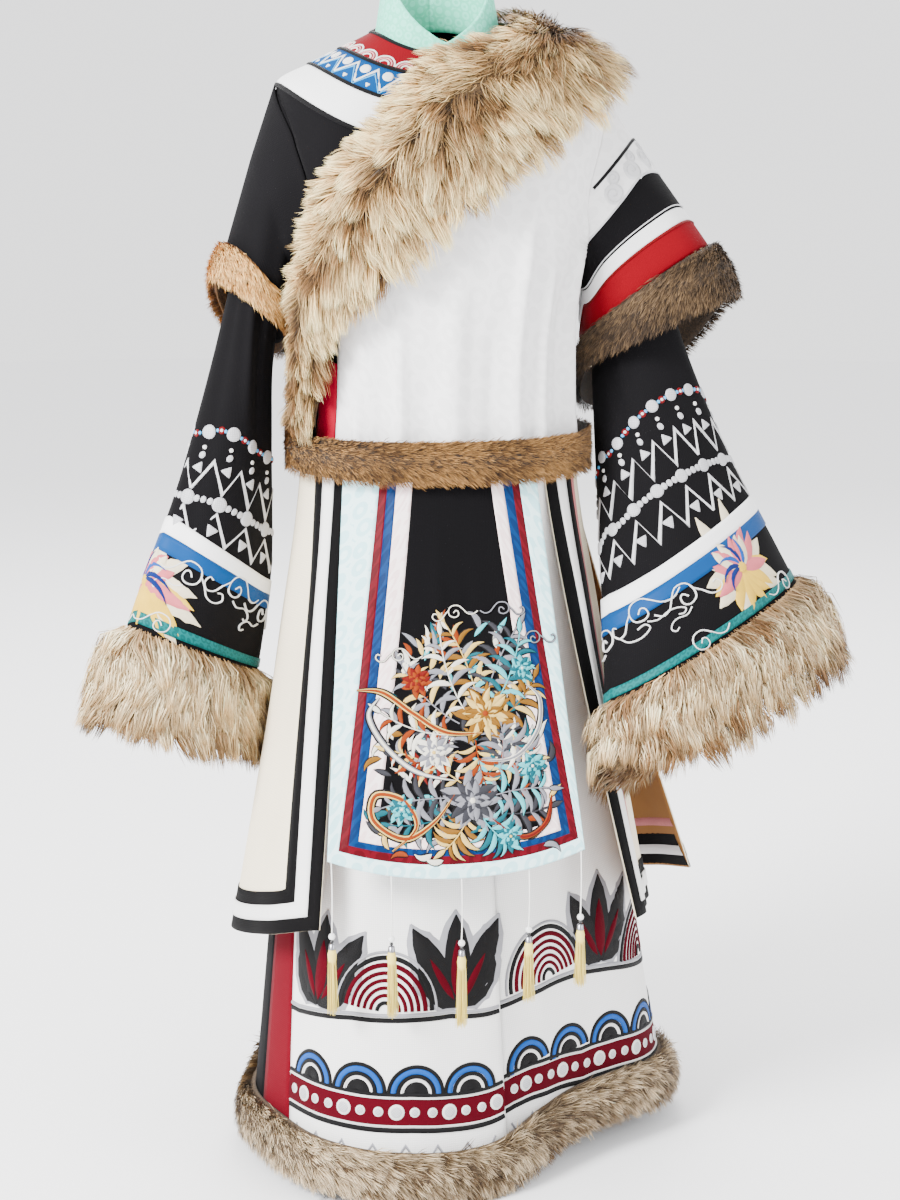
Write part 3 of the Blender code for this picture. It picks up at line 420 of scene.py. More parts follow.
class Needlework:
    """Threads, cords and beads laid on a cloth: raised shapes whose edges dip into it."""

    def __init__(self, place, level):
        self.place, self.level, self.parts = place, level, []

    def dot(self, u, v, wide, high, kind, tall=None, corners=0, turn=0.0, steps=15):
        """A filled ellipse, or polygon with soft corners; its half width is wide and its half height tall."""
        angle = np.linspace(0, 2 * math.pi, steps, endpoint=False)
        reach = np.ones(steps)
        if corners:
            wedge = 2 * math.pi / corners
            reach = np.minimum(math.cos(wedge / 2) / np.cos((angle + wedge / 2) % wedge - wedge / 2), 0.9)
        part, angle = np.meshgrid(np.array((0.08, 0.6, 0.88, 1.0)), angle)
        a = wide * reach[:, None] * part * np.cos(angle)
        b = (tall or wide) * reach[:, None] * part * np.sin(angle)
        a, b = a * math.cos(turn) - b * math.sin(turn), a * math.sin(turn) + b * math.cos(turn)
        height = high * np.array((1.0, 0.97, 0.72, -0.35)) * np.ones(angle.shape)
        at = shifted(self.place, np.full(a.shape, float(u)), np.full(a.shape, float(v)), a, b)
        self.parts.append((at[0], at[1], height, a, b, kind, True))

    def line(self, u, v, wide, high, kind, flat=0.7):
        """A cord or a satin-stitched stripe along a path."""
        u, v = np.asarray(u, float), np.asarray(v, float)
        spots = self.place(u, v)
        one, two, reach, slip, depth = directions(self.place, u, v)
        run = unit(np.gradient(spots, axis=0))
        step = unit(np.diff(spots, axis=0, append=2 * spots[-1:] - spots[-2:-1]))
        mitre = 1 / np.clip((run * step).sum(-1), 0.4, 1)
        mitre[0] = mitre[-1] = 1
        side = unit(np.cross(np.cross(one, two), run))
        off = np.array((-1.0, -flat, 0.0, flat, 1.0)) * 0.5
        out = off[None] * (np.broadcast_to(wide, u.shape) * mitre)[:, None]
        a, b = out * (side * one).sum(-1)[:, None], out * (side * two).sum(-1)[:, None]
        down = b / depth[:, None]
        along = np.concatenate([[0], np.cumsum(np.linalg.norm(np.diff(spots, axis=0), axis=-1))])
        height = high * np.array((-0.3, 0.8, 1.0, 0.8, -0.3)) * np.ones(out.shape)
        self.parts.append((u[:, None] + (a - slip[:, None] * down) / reach[:, None], v[:, None] + down,
                           height, out, along[:, None] * np.ones(out.shape), kind, False))

    def curl(self, u, v, right, low, wide, high, kind):
        """A line through points given in metres right and down of one spot."""
        right, low = np.asarray(right, float), np.asarray(low, float)
        at = shifted(self.place, np.full(right.shape, float(u)), np.full(right.shape, float(v)), right, low)
        self.line(at[0], at[1], wide, high, kind)

    def field(self, u, v, high, kind):
        """A filled strip over a net of u and v."""
        height = np.full(u.shape, float(high))
        height[:, 0] = height[:, -1] = -0.0003
        net = self.place(u, v)
        across, down = measured(net)
        self.parts.append((u, v, height, across, down, kind, False))

    def finish(self, name, threads, slot):
        """All of it as one piece, each kind of thread with its own finish."""
        u, v, height, across, down = (np.concatenate([np.ravel(part[k]) for part in self.parts])
                                      for k in range(5))
        verts = self.place(u, v, self.level + height)
        out = self.place(u, v, self.level + height + 0.002) - verts
        faces, kinds, start = [], [], 0
        for spots, _, _, _, _, kind, closed in self.parts:
            new = quads(*spots.shape, closed)[0] + start
            a, b, c = (verts[new[:, k]] for k in (0, 1, 2))
            if (np.cross(b - a, c - a) * out[new[:, 0]]).sum() < 0:
                new = new[:, ::-1]
            faces += new.tolist()
            if closed:
                cap = start + np.arange(spots.shape[0]) * spots.shape[1]
                a, b, c = verts[cap[0]], verts[cap[1]], verts[cap[len(cap) // 2]]
                turned = np.dot(np.cross(b - a, c - a), out[cap[0]]) < 0
                faces.append((cap[::-1] if turned else cap).tolist())
            kinds += [kind] * (len(new) + closed)
            start += spots.size
        corners = np.stack([across, down], -1)[[k for face in faces for k in face]]
        shown(name, verts, faces, corners, threads, kinds)


def floss(name, colour, pitch=0.7, crossed=False, metal=0.0, roughness=0.5):
    """Satin-stitched floss: shiny threads laid side by side, a pitch apart in mm, or crossed in a net."""
    material, tree, shader = fresh(name)
    flat = add(tree, "TexCoord", "UV", {})
    scale = WAVE / (pitch / 1000)
    height = add(tree, "TexWave", "Fac", {"Vector": flat, "Scale": scale, "Distortion": 0.6, "Detail": 2.0},
                 bands_direction="DIAGONAL" if crossed else "Y")
    if crossed:
        other = add(tree, "Mapping", "Vector", {"Vector": flat, "Rotation": (0, 0, math.pi / 2)})
        second = add(tree, "TexWave", "Fac", {"Vector": other, "Scale": scale}, bands_direction="DIAGONAL")
        height = add(tree, "Math", "Value", {0: height, 1: second}, operation="MULTIPLY")
    dye = clouded(tree, 60.0, 3.0, linear(colour, 0.72), linear(colour))
    bump = add(tree, "Bump", "Normal", {"Strength": 0.6, "Distance": 0.0004, "Height": height})
    # The base colour has painted shade: it is darker in the grooves between stitches, more so in the crossed
    # net.
    fit(tree, shader, {"Base Color": painted_dip_shade(tree, dye, height, 0.62 if crossed else 0.84), "Normal": bump,
                       "Roughness": roughness, "Metallic": metal, "Specular IOR Level": 0.12,
                       "Sheen Weight": 0.03})
    return material


red_wool = woven("red_wool_cloth", "740112", thread=1.0)
blue_wool = woven("sky_blue_wool_cloth", "01437c", thread=1.0)
white_cotton = woven("white_cotton_cloth", "f5f5f5", thread=1.0, uneven=0.03)
black_cord = floss("black_piping_cord", "0b0a0c", roughness=0.6)
white_floss = floss("white_embroidery_floss", "f6f4f0")
red_floss = floss("red_embroidery_floss", "720108")
blue_floss = floss("mid_blue_embroidery_floss", "0154ac")
pink_floss = floss("pink_embroidery_floss", "f09aa0")
pale_blue_floss = floss("pale_blue_embroidery_floss", "58b8f0")
silver_floss = floss("silver_grey_floss_net", "dcdce0", pitch=1.5, crossed=True, metal=0.08, roughness=0.4)
silver_cord = floss("silver_couched_cord", "e2e2e4", pitch=1.2, metal=0.1, roughness=0.35)

for node, top, bottom, cloth in (("yoke_red", NECK, RED_EDGE, red_wool),
                                 ("yoke_blue", RED_EDGE, BLUE_EDGE, blue_wool),
                                 ("yoke_white", BLUE_EDGE, SHOULDER, white_cotton)):
    yoke_angle, yoke_row = grid(np.linspace(-180, 180, YOKE_COLUMNS, endpoint=False),
                                np.linspace(top, bottom, 8))
    sewn(node + "_ring", underrobe_place, yoke_angle, yoke_row, LAY, TRIM, [cloth], node, closed=True)

(PIPE, WHITE_STITCH, PINK_STITCH, PALE_BLUE_STITCH) = range(4)
yoke_work = Needlework(underrobe_place, LAY + TRIM)
full_turn = np.linspace(-180, 180, 121)
for row in (0.06, RED_EDGE, BLUE_EDGE, SHOULDER + 0.02):
    yoke_work.line(full_turn, np.full(121, float(row)), PIPING, 0.0016, PIPE)
for k in range(YOKE_REPEATS):
    centre = (k + 0.5) * 360 / YOKE_REPEATS - 180
    half_circle = np.linspace(0, math.pi, 15)
    for radius, wide, kind in ((0.0125, 0.0022, WHITE_STITCH), (0.0090, 0.0020, PINK_STITCH),
                               (0.0056, 0.0022, WHITE_STITCH)):
        yoke_work.curl(centre, RED_EDGE - 0.08, radius * np.cos(half_circle), -radius * np.sin(half_circle),
                       wide, 0.0008, kind)
    half = 180 / YOKE_REPEATS
    for base, tip, wide, kind in ((1.86, 1.20, 0.0030, WHITE_STITCH), (1.96, 1.38, 0.0016, PALE_BLUE_STITCH)):
        yoke_work.line((centre - half, centre, centre + half), (base, tip, base), wide, 0.0008, kind)
    yoke_work.dot(centre + half, 1.32, 0.0066, 0.0010, WHITE_STITCH)
    yoke_work.dot(centre, 1.80, 0.0042, 0.0008, WHITE_STITCH, corners=3, turn=-math.pi / 2)
yoke_work.finish("yoke_needlework", [black_cord, white_floss, pink_floss, pale_blue_floss], "yoke_blue")


# Standing collar: two halves of pale teal silk satin, lapped left over right at the front and tucked in below
# the yoke's neckline. Its upper edge is turned in and stitched.
COLLAR_EDGE_Z = (-0.022, 0.006, 0.036, 0.050, 0.054, 0.056, 0.056)
COLLAR_TAPER = 0.16
COLLAR_TUCK = 0.012


def neckband(angle, rise):
    """Rise 0 is tucked in below the neckline and 1 the upper edge."""
    base = torso(angle, NECK)
    top_z = smooth(COLLAR_EDGE_Z, np.abs(angle) / 30)
    height = np.clip(np.asarray(rise, float), -1, 2)
    shrink = (1 - COLLAR_TAPER * height * np.clip((top_z - base[..., 2]) / 0.06, 0, 1))
    x = TORSO_CENTRE + (base[..., 0] - TORSO_CENTRE) * shrink
    return points(x, base[..., 1] * shrink, mix(base[..., 2] - COLLAR_TUCK, top_z, height))


def satin(name, colour, thread=0.5, roughness=0.42, sheen=0.03, uneven=0.08, motif=0.0, second=None):
    """Satin or brocade: long shiny floats, and a tone-on-tone woven motif where it has one, both in mm."""
    material, tree, shader = fresh(name)
    flat = add(tree, "TexCoord", "UV", {})
    height = add(tree, "TexWave", "Fac", {"Vector": flat, "Scale": WAVE / (thread / 1000), "Distortion": 1.0,
                                          "Detail": 2.0}, bands_direction="X")
    dye = clouded(tree, 12.0, 5.0, linear(colour, 1 - 2 * uneven), linear(colour))
    if motif:
        cells = add(tree, "TexVoronoi", "Distance",
                    {"Vector": flat, "Scale": 1000 / motif, "Randomness": 0.35}, feature="F1")
        rings = add(tree, "Math", "Value", {0: cells, 1: 14.0}, operation="MULTIPLY")
        rings = add(tree, "Math", "Value", {0: rings}, operation="SINE")
        shape = add(tree, "MapRange", "Result", {"Value": rings, "From Min": -0.25, "From Max": 0.25})
        dye = add(tree, "Mix", "Result", {"Factor": shape, "A": dye, "B": linear(second)}, data_type="RGBA")
        height = add(tree, "Math", "Value", {0: shape, 1: 0.6, 2: height}, operation="MULTIPLY_ADD")
    bump = add(tree, "Bump", "Normal", {"Strength": 0.25, "Distance": 0.0003, "Height": height})
    fit(tree, shader, {"Base Color": dye, "Normal": bump, "Roughness": roughness, "Specular IOR Level": 0.08,
                       "Sheen Weight": sheen})
    return material


teal_satin = satin("pale_teal_silk_satin", "7ceacd", motif=11.0, second="62d6b4")
collar_place = cloth_place(neckband, side=-1)
for word, side in (("left", 1), ("right", -1)):
    collar_angle, collar_rise = grid(side * np.linspace(-12.8, 180, 61), np.linspace(0, 1, 12))
    under = (CLOTH + LAY if side < 0 else 0.0) * np.clip((45 - np.abs(collar_angle)) / 22.5, 0, 1)
    sewn("inner_collar_%s_half" % word, collar_place, collar_angle, collar_rise, -0.0004 - CLOTH - under,
         CLOTH, [teal_satin], "inner_collar_" + word)


# Long sleeves: wide tapered tubes of black wool cloth set into the armholes. Each carries three ribbons, a
# white and a blue one sewn edge to edge above the hand and a teal one just above the fur cuff.
SLEEVE_NAMES = "outer_x outer_y outer_z inner_x inner_y inner_z front back rise"
LEFT_SLEEVE = table(SLEEVE_NAMES, (
    (0.222, 0.000, -0.128, 0.184, -0.008, -0.300, 0.056, 0.054, 0.000),
    (0.256, 0.000, -0.240, 0.188, -0.022, -0.385, 0.054, 0.050, 0.004),
    (0.298, -0.005, -0.385, 0.190, -0.060, -0.490, 0.058, 0.048, 0.008),
    (0.350, -0.010, -0.520, 0.187, -0.114, -0.610, 0.066, 0.046, 0.012),
    (0.397, -0.015, -0.608, 0.180, -0.166, -0.705, 0.073, 0.045, 0.016),
    (0.427, -0.019, -0.666, 0.174, -0.200, -0.764, 0.079, 0.045, 0.018)))
RIGHT_SLEEVE = table(SLEEVE_NAMES, (
    (-0.202, 0.004, -0.135, -0.178, 0.004, -0.300, 0.052, 0.054, 0.000),
    (-0.227, 0.004, -0.250, -0.188, 0.022, -0.385, 0.048, 0.050, 0.004),
    (-0.260, -0.010, -0.385, -0.195, 0.040, -0.490, 0.054, 0.050, 0.008),
    (-0.300, -0.028, -0.522, -0.200, 0.066, -0.618, 0.064, 0.052, 0.012),
    (-0.336, -0.040, -0.616, -0.214, 0.088, -0.706, 0.073, 0.054, 0.016),
    (-0.363, -0.050, -0.690, -0.228, 0.104, -0.772, 0.079, 0.056, 0.018)))
SLEEVE_COLUMNS = 72
BACK_DROOP = 1.9
OVER_UNDERARM = 7.4
RIGHT_OVER_LEVEL = 0.0035
RIBBONS = (("ribbon_white", 0.724, 0.757), ("ribbon_blue", 0.757, 0.793), ("ribbon_teal", 0.942, 0.972))


def over_level(row):
    """The coat stands clear over the shoulder and is drawn in at the waist."""
    part = np.clip((np.asarray(row, float) - SHOULDER) / (UNDERARM - SHOULDER), 0, 1)
    return mix(0.0080, 0.0040, part)


def over_edge(row):
    """The coat's armhole is cut deeper than the one under it."""
    part = (np.asarray(row, float) - SHOULDER) / (OVER_UNDERARM - SHOULDER)
    return smooth(TORSO["edge"], np.where(part < 1, SHOULDER + part * (UNDERARM - SHOULDER), row))


def armhole(turn, side, over):
    """Turn 0 is the shoulder tip, 90 the front, 180 the underarm and 270 the back."""
    turn = np.asarray(turn, float) % 360
    front = turn <= 180
    last = OVER_UNDERARM if over else UNDERARM
    row = mix(SHOULDER, last, np.where(front, turn, 360 - turn) / 180)
    edge = over_edge(row) if over else smooth(TORSO["edge"], row)
    lift = over_level(row) + CLOTH if over else np.zeros_like(row)
    if over and side < 0:
        lift = np.full_like(row, RIGHT_OVER_LEVEL)
    return torso_place(np.where(front, edge, 180 - edge) * side, row, lift)


def sleeve(turn, run, rows, side, over=False):
    """Run 0 is the armhole and 1 the hem."""
    turn, run = np.broadcast_arrays(np.asarray(turn, float), np.asarray(run, float))
    at = run * len(rows["front"]) - 1
    get = {name: smooth(values, np.maximum(at, 0)) for name, values in rows.items()}
    outer = points(get["outer_x"], get["outer_y"], get["outer_z"])
    inner = points(get["inner_x"], get["inner_y"], get["inner_z"])
    half = (outer - inner) / 2
    lean = unit(half)
    ahead = np.array((0.0, -1.0, 0.0))
    out = unit(ahead - lean * (lean @ ahead)[..., None])
    cosine, sine = np.cos(np.radians(turn)), np.sin(np.radians(turn))
    depth = np.where(sine > 0, get["front"], get["back"])
    ring = (outer + inner) / 2 + half * cosine[..., None] + out * (depth * sine)[..., None]
    ring[..., 2] += get["rise"] * sine * np.where(sine > 0, 1.0, BACK_DROOP)
    if np.min(at) >= 0:
        return ring
    part = np.clip(at + 1, 0, 1)[..., None]
    return mix(armhole(turn, side, over), ring, part)


torso_place = cloth_place(torso)
sleeve_surfaces = {"left": lambda turn, run: sleeve(turn, run, LEFT_SLEEVE, 1),
                   "right": lambda turn, run: sleeve(turn, run, RIGHT_SLEEVE, -1)}
sleeve_creases = {
    "left": creases(((150, 0.20, 128, 0.80, 10, -0.0035), (60, 0.10, 42, 0.9, 12, 0.003),
                     (200, 0.25, 205, 1.3, 14, 0.004), (300, 0.15, 318, 1.2, 14, -0.004),
                     (250, 0.1, 262, 0.9, 10, 0.0035), (20, 0.3, 12, 1.2, 9, -0.003))),
    "right": creases(((64, 0.02, 78, 0.55, 9, 0.0055), (92, 0.05, 104, 0.60, 9, -0.0045),
                      (30, 0.2, 22, 1.1, 12, -0.003), (140, 0.25, 128, 1.2, 12, 0.004),
                      (262, 0.1, 250, 1.0, 12, 0.0045), (310, 0.2, 322, 1.2, 12, -0.004)))}
sleeve_places = {}
ribbon_cloths = {"ribbon_white": satin("white_grosgrain_ribbon", "f4f4f4", roughness=0.55, uneven=0.03),
                 "ribbon_blue": satin("blue_satin_ribbon", "003f78"),
                 "ribbon_teal": satin("teal_satin_ribbon", "015555", motif=9.0, second="016464")}
for word, side in (("left", -1), ("right", 1)):
    place = cloth_place(sleeve_surfaces[word], side, sleeve_creases[word])
    sleeve_places[word] = place
    turn, run = grid(np.linspace(0, 360, SLEEVE_COLUMNS, endpoint=False), np.linspace(0, 1, 49))
    sewn(word + "_sleeve_tube", place, turn, run, -CLOTH, CLOTH, [black_wool], word + "_sleeve", closed=True)
    for name, start, end in RIBBONS:
        turn, run = grid(np.linspace(0, 360, SLEEVE_COLUMNS, endpoint=False), np.linspace(start, end, 5))
        sewn("%s_%s_band" % (word, name), place, turn, run, LAY, TRIM, [ribbon_cloths[name]],
             word + "_" + name, closed=True)


# Sleeve needlework: chains of silver net discs and beads, two zigzags of couched silver cord and small filled
# triangles between them, cloud scrolls in white cord over the blue ribbon, and a lotus worked in floss.
SLEEVE_WORK = {
    "left": {"repeats": 15, "phase": 0.223, "disc": 0.0076, "lotus": (82, 0.83),
             "scrolls": (118, 152, 186, 250, 300)},
    "right": {"repeats": 10, "phase": 0.034, "disc": 0.0086, "lotus": (-8, 0.86),
              "scrolls": (42, 82, 124, 215, 280)}}
CHAIN_HEIGHTS = (0.266, 0.206)
ZIGZAGS = ((0.241, 0.2155, 0.0), (0.196, 0.165, 0.5))
LOW_TRIANGLE_HEIGHT = 0.177
SLANT = 0.36
SCROLL = ((0.000, 0.000), (0.004, -0.004), (0.008, -0.002), (0.008, 0.004), (0.002, 0.007), (-0.006, 0.004),
          (-0.008, -0.004), (-0.003, -0.011), (0.008, -0.012), (0.016, -0.006), (0.023, 0.001),
          (0.032, 0.003), (0.040, -0.002))
SCROLL_TAIL = ((-0.008, -0.004), (-0.014, 0.002), (-0.020, 0.010), (-0.028, 0.012), (-0.034, 0.007),
               (-0.032, 0.001), (-0.027, 0.002))
SCROLL_WISP = ((0.004, 0.010), (0.012, 0.014), (0.022, 0.012), (0.029, 0.014), (0.033, 0.019), (0.030, 0.023),
               (0.026, 0.021))


def eased(path, steps):
    """A smooth line through a few points."""
    at = np.linspace(0, len(path) - 1, steps)
    path = np.array(path)
    i = np.clip(np.floor(at).astype(int), 0, len(path) - 2)
    steps = (np.maximum(i - 1, 0), i, i + 1, np.minimum(i + 2, len(path) - 1))
    return flowing(*(path[step] for step in steps), (at - i)[:, None])


def petal(work, u, v, heading, reach, wide, kind, high=0.0012, bend=0.0, start=0.0, blunt=1.0):
    """A petal or leaf of satin stitch; heading 0 points up and 90 to the right, bend turns its tip."""
    part = np.linspace(0, 1, 7)
    turn = math.radians(heading) + bend * part ** 1.5
    right = start * math.sin(turn[0]) + reach * part * np.sin(turn)
    low = -start * math.cos(turn[0]) - reach * part * np.cos(turn)
    work.curl(u, v, right, low, wide * np.clip(np.sin(math.pi * part ** 0.8) ** blunt, 0.04, 1), high, kind)


white_cord = floss("white_couched_cord", "f6f6f4", pitch=1.0)
yellow_floss = floss("yellow_embroidery_floss", "f6c840")
rose_floss = floss("rose_embroidery_floss", "e0707a")
cream_floss = floss("cream_embroidery_floss", "f6e8c8")
deep_blue_floss = floss("deep_blue_embroidery_floss", "01256d")
sleeve_threads = [silver_floss, silver_cord, red_floss, pale_blue_floss, white_floss, white_cord, cream_floss,
                  rose_floss, yellow_floss, deep_blue_floss, blue_floss]
(SILVER, CORD, RED, PALE_BLUE, WHITE, SCROLL_CORD, CREAM, ROSE, YELLOW, DEEP_BLUE, SKY) = range(11)


def hang_length(surface, angle):
    """Length of a surface from its upper end to its hem."""
    return np.linalg.norm(surface(angle, 1.0) - surface(angle, 0.0), axis=-1)


def up_sleeve(surface, share, height):
    """Turn and run of the spots that lie a share of the way round and some metres above the hem."""
    turn = np.linspace(0, 360, 361)
    lengths = hang_length(surface, turn)
    ring = surface(turn, 1 - 0.2 / lengths)
    girth = np.concatenate([[0], np.cumsum(np.linalg.norm(np.diff(ring, axis=0), axis=-1))])
    share = np.asarray(share, float) + SLANT * (np.asarray(height, float) - CHAIN_HEIGHTS[1])
    at = np.interp(share % 1, girth / girth[-1], turn) + 360 * np.floor(share)
    return at, 1 - np.asarray(height, float) / np.interp(at % 360, turn, lengths)


def lotus(work, u, v, size):
    """An open lotus: outer petals pale, inner ones rose, yellow ones below and a blue seed head."""
    rows = ((0.050, 0.018, CREAM, 0.0009, (-150, -118, -86, -56, -28, 28, 56, 86, 118, 150)),
            (0.044, 0.016, YELLOW, 0.0013, (-168, -136, 136, 168, 180, -100, 100)),
            (0.036, 0.017, ROSE, 0.0017, (-72, -36, 36, 72, -110, 110)),
            (0.030, 0.017, CREAM, 0.0021, (-52, -18, 18, 52)),
            (0.024, 0.013, ROSE, 0.0024, (-30, 0, 30)))
    for reach, wide, kind, high, headings in rows:
        for k, heading in enumerate(headings):
            petal(work, u, v, heading, reach * size * (1 + 0.10 * math.sin(5 * k + reach * 400)), wide * size,
                  kind, high, 0.25 * math.sin(3 * k + 1), blunt=0.7)
    for k, heading in enumerate((-20, 15, 50, -60, 80)):
        petal(work, u, v, heading, 0.026 * size, 0.006 * size, (DEEP_BLUE, SKY)[k % 2], 0.0028, 0.8)
    work.dot(u, v, 0.006 * size, 0.0030, YELLOW)


for word, side in (("left", -1), ("right", 1)):
    surface, place = sleeve_surfaces[word], sleeve_places[word]
    made_of = SLEEVE_WORK[word]
    repeats, disc = made_of["repeats"], made_of["disc"]
    pitch = 1 / repeats
    work = Needlework(place, 0.0002)
    shares = made_of["phase"] + pitch * np.arange(repeats)
    top, low = CHAIN_HEIGHTS
    for share in shares:
        def at(part, height):
            return up_sleeve(surface, share + pitch * part, height)

        work.dot(*at(0, top), disc, 0.0016, SILVER)
        for part, size, kind in ((0.34, 0.0022, PALE_BLUE), (0.50, 0.0046, RED), (0.66, 0.0022, PALE_BLUE)):
            work.dot(*at(part, top), size, 0.0013, kind, steps=12)
        work.dot(*at(0.50, top), 0.0021, 0.0020, WHITE, steps=10)
        work.dot(*at(0, top - disc - 0.004), 0.0026, 0.0014, WHITE, steps=12)
        work.dot(*at(0, top - disc - 0.0105), 0.0036, 0.0014, SILVER, tall=0.0046, steps=14)
        work.dot(*at(0, top - disc - 0.0215), 0.0088, 0.0014, SILVER, corners=3, turn=math.pi / 2, steps=24)
        work.dot(*at(0, low), disc * 1.08, 0.0016, SILVER)
        for part in (0.29, 0.5, 0.71):
            work.dot(*at(part, low), 0.0036, 0.0013, SILVER, tall=0.0044, steps=14)
        work.dot(*at(0, LOW_TRIANGLE_HEIGHT), 0.0098, 0.0014, SILVER, corners=3, turn=-math.pi / 2, steps=24)
    corners = made_of["phase"] + pitch * np.arange(2 * repeats + 1) / 2
    for lift, dip, shift in ZIGZAGS:
        even = np.arange(2 * repeats + 1) % 2 == 0
        heights = np.where(even, dip, lift)
        work.line(*up_sleeve(surface, corners + shift * pitch, heights), 0.0032, 0.0012, CORD)
    for k, turn in enumerate(made_of["scrolls"]):
        flip = -1 if k % 2 else 1
        for path, wide in ((SCROLL, 0.0021), (SCROLL_TAIL, 0.0019), (SCROLL_WISP, 0.0017)):
            line = eased(path, 34) * (flip * -side, 1)
            work.curl(turn, 0.80 + 0.012 * flip, line[:, 0] * 1.25, line[:, 1] * 1.3, wide, 0.0019,
                      SCROLL_CORD)
    for k, turn in enumerate(np.array((-30, 35)) + made_of["lotus"][0]):
        line = eased(SCROLL, 34) * (1 - 2 * k, 1)
        work.curl(turn, 0.955, line[:, 0] * 1.1, line[:, 1] * 1.1, 0.0019, 0.0019, SCROLL_CORD)
    lotus(work, *made_of["lotus"], 1.3)
    work.finish(word + "_sleeve_needlework", sleeve_threads, word + "_sleeve")


# Skirt of the under-robe: two fronts of white wool cloth that lap at a seam left of the centre, a red band
# down each side and a black back. It hangs from the waist under the belt and the apron.
SKIRT_CENTRE = (0.03, 0.0)
SKIRT_HEM_Z = -1.302
SKIRT_HEM = table("radius rise", (
    (0.215, 0.000), (0.238, 0.000), (0.214, 0.000), (0.246, 0.000), (0.242, 0.000), (0.262, 0.000),
    (0.270, 0.000), (0.286, -0.002), (0.270, -0.008), (0.230, -0.012), (0.190, 0.004), (0.184, 0.016),
    (0.207, 0.018), (0.248, 0.012), (0.258, 0.006), (0.226, 0.000), (0.250, 0.000), (0.220, 0.000)))
FLARE = 1.15
BELT_HEIGHT = 0.050
SEAM_ANGLE = 6.0
SKIRT_LAP = 0.008


def hanging(angle, run, centre, hem_z, radius, rise):
    """Run 0 is the waist and 1 the hem; the cloth flares out only below the belt."""
    angle, run = np.broadcast_arrays(np.asarray(angle, float), np.asarray(run, float))
    top = torso(angle, WAIST)
    reach = around(radius, angle)
    turn = np.radians(angle)
    hem = points(centre[0] + reach * np.sin(turn), centre[1] - reach * np.cos(turn),
                 hem_z + around(rise, angle))
    run = run[..., None]
    belt = BELT_HEIGHT / 2 / (top[..., 2:] - hem[..., 2:])
    place = mix(top, hem, np.maximum((run - belt) / (1 - belt), 0) ** FLARE)
    place[..., 2] = mix(top, hem, run)[..., 2]
    return place


def skirt(angle, run):
    return hanging(angle, run, SKIRT_CENTRE, SKIRT_HEM_Z, SKIRT_HEM["radius"], SKIRT_HEM["rise"])


def lapped_skirt(angle, run):
    """The left front runs in under the right one near the centre seam."""
    lap = SKIRT_LAP * np.clip(1 - (np.asarray(angle, float) - SEAM_ANGLE) / 24, 0, 1) ** 2
    place = skirt(angle, run)
    turn = np.radians(angle)
    inward = points(-np.sin(turn), np.cos(turn), 0.0)
    return place + inward * (lap * np.clip(np.asarray(run, float) * 3, 0, 1))[..., None]


def panel(first, last, columns, rows):
    """Net between two lines, each an angle at the waist and one at the hem."""
    share, run = grid(np.linspace(0, 1, columns), np.linspace(0, 1, rows))
    return mix(mix(first[0], first[1], run), mix(last[0], last[1], run), share), run


skirt_creases = creases((
    (-30, 0.45, -34, 1.4, 6, 0.0022), (-8, 0.50, -12, 1.4, 5, -0.0018), (22, 0.45, 27, 1.4, 5, 0.0022),
    (48, 0.40, 54, 1.4, 6, -0.0025), (66, 0.5, 72, 1.4, 6, 0.0025), (110, 0.15, 116, 1.4, 7, 0.005),
    (135, 0.10, 142, 1.4, 8, -0.0045), (160, 0.2, 166, 1.4, 7, 0.005), (-160, 0.1, -166, 1.4, 8, -0.005),
    (-135, 0.15, -142, 1.4, 7, 0.005), (-112, 0.1, -118, 1.4, 7, -0.004), (-88, 0.3, -92, 1.4, 5, 0.003)))
skirt_place = cloth_place(skirt, creases=skirt_creases)
lapped_place = cloth_place(lapped_skirt, creases=skirt_creases)
white_wool = woven("white_wool_cloth", "f5f4f2", thread=1.3, uneven=0.03)
crimson_wool = woven("crimson_wool_cloth", "640015", thread=1.2)
for node, place, first, last, columns, rows, cloth in (
        ("skirt_front_right", skirt_place, (-74, -56), (SEAM_ANGLE, SEAM_ANGLE), 41, 41, white_wool),
        ("skirt_front_left", lapped_place, (SEAM_ANGLE, SEAM_ANGLE), (88, 104), 41, 41, white_wool),
        ("skirt_band_left", skirt_place, (88, 104), (97, 118), 7, 41, crimson_wool),
        ("skirt_back", skirt_place, (97, 118), (276, 288), 67, 33, black_wool),
        ("skirt_band_right", skirt_place, (276, 288), (286, 304), 7, 41, crimson_wool)):
    angle, run = panel(first, last, columns, rows)
    sewn(node + "_cloth", place, angle, run, 0.0, CLOTH, [cloth], node)


# Skirt needlework: a crimson band with silver net discs and black piping runs above the hem, scallops in
# blue, black and white stand on it, then a black and a silver line, and over that a plain row of palmettes
# and leaves.
BAND_TOP = ((-70, -55, -20, 10, 45, 110), (0.096, 0.099, 0.106, 0.103, 0.080, 0.080))
LINE_TOP = ((-70, -56, -36, -9, 15, 46, 85, 110), (0.170, 0.173, 0.189, 0.198, 0.185, 0.175, 0.161, 0.158))
BAND_DEPTH = 0.035
BAND_TOP_AT_FRONT = 0.106
SCALLOP_PITCH = 0.067
SKIRT_DROP = 0.82
(BLACK, SCARLET, NET, THREAD_WHITE, BLUE, STEEL) = range(6)
FAN = ((0.060, 0.0036, STEEL), (0.0545, 0.0062, BLACK), (0.0470, 0.0062, SCARLET), (0.0390, 0.0050, SCARLET),
       (0.0315, 0.0048, SCARLET), (0.0240, 0.0046, SCARLET), (0.0165, 0.0046, SCARLET),
       (0.0090, 0.0050, BLACK))
steel_floss = floss("silver_grey_floss", "a6a6ac", metal=0.2, roughness=0.4)
scarlet_wool = woven("crimson_applique_cloth", "4c0010", thread=1.0)
skirt_threads = [black_cord, scarlet_wool, silver_floss, white_floss, blue_floss, steel_floss]


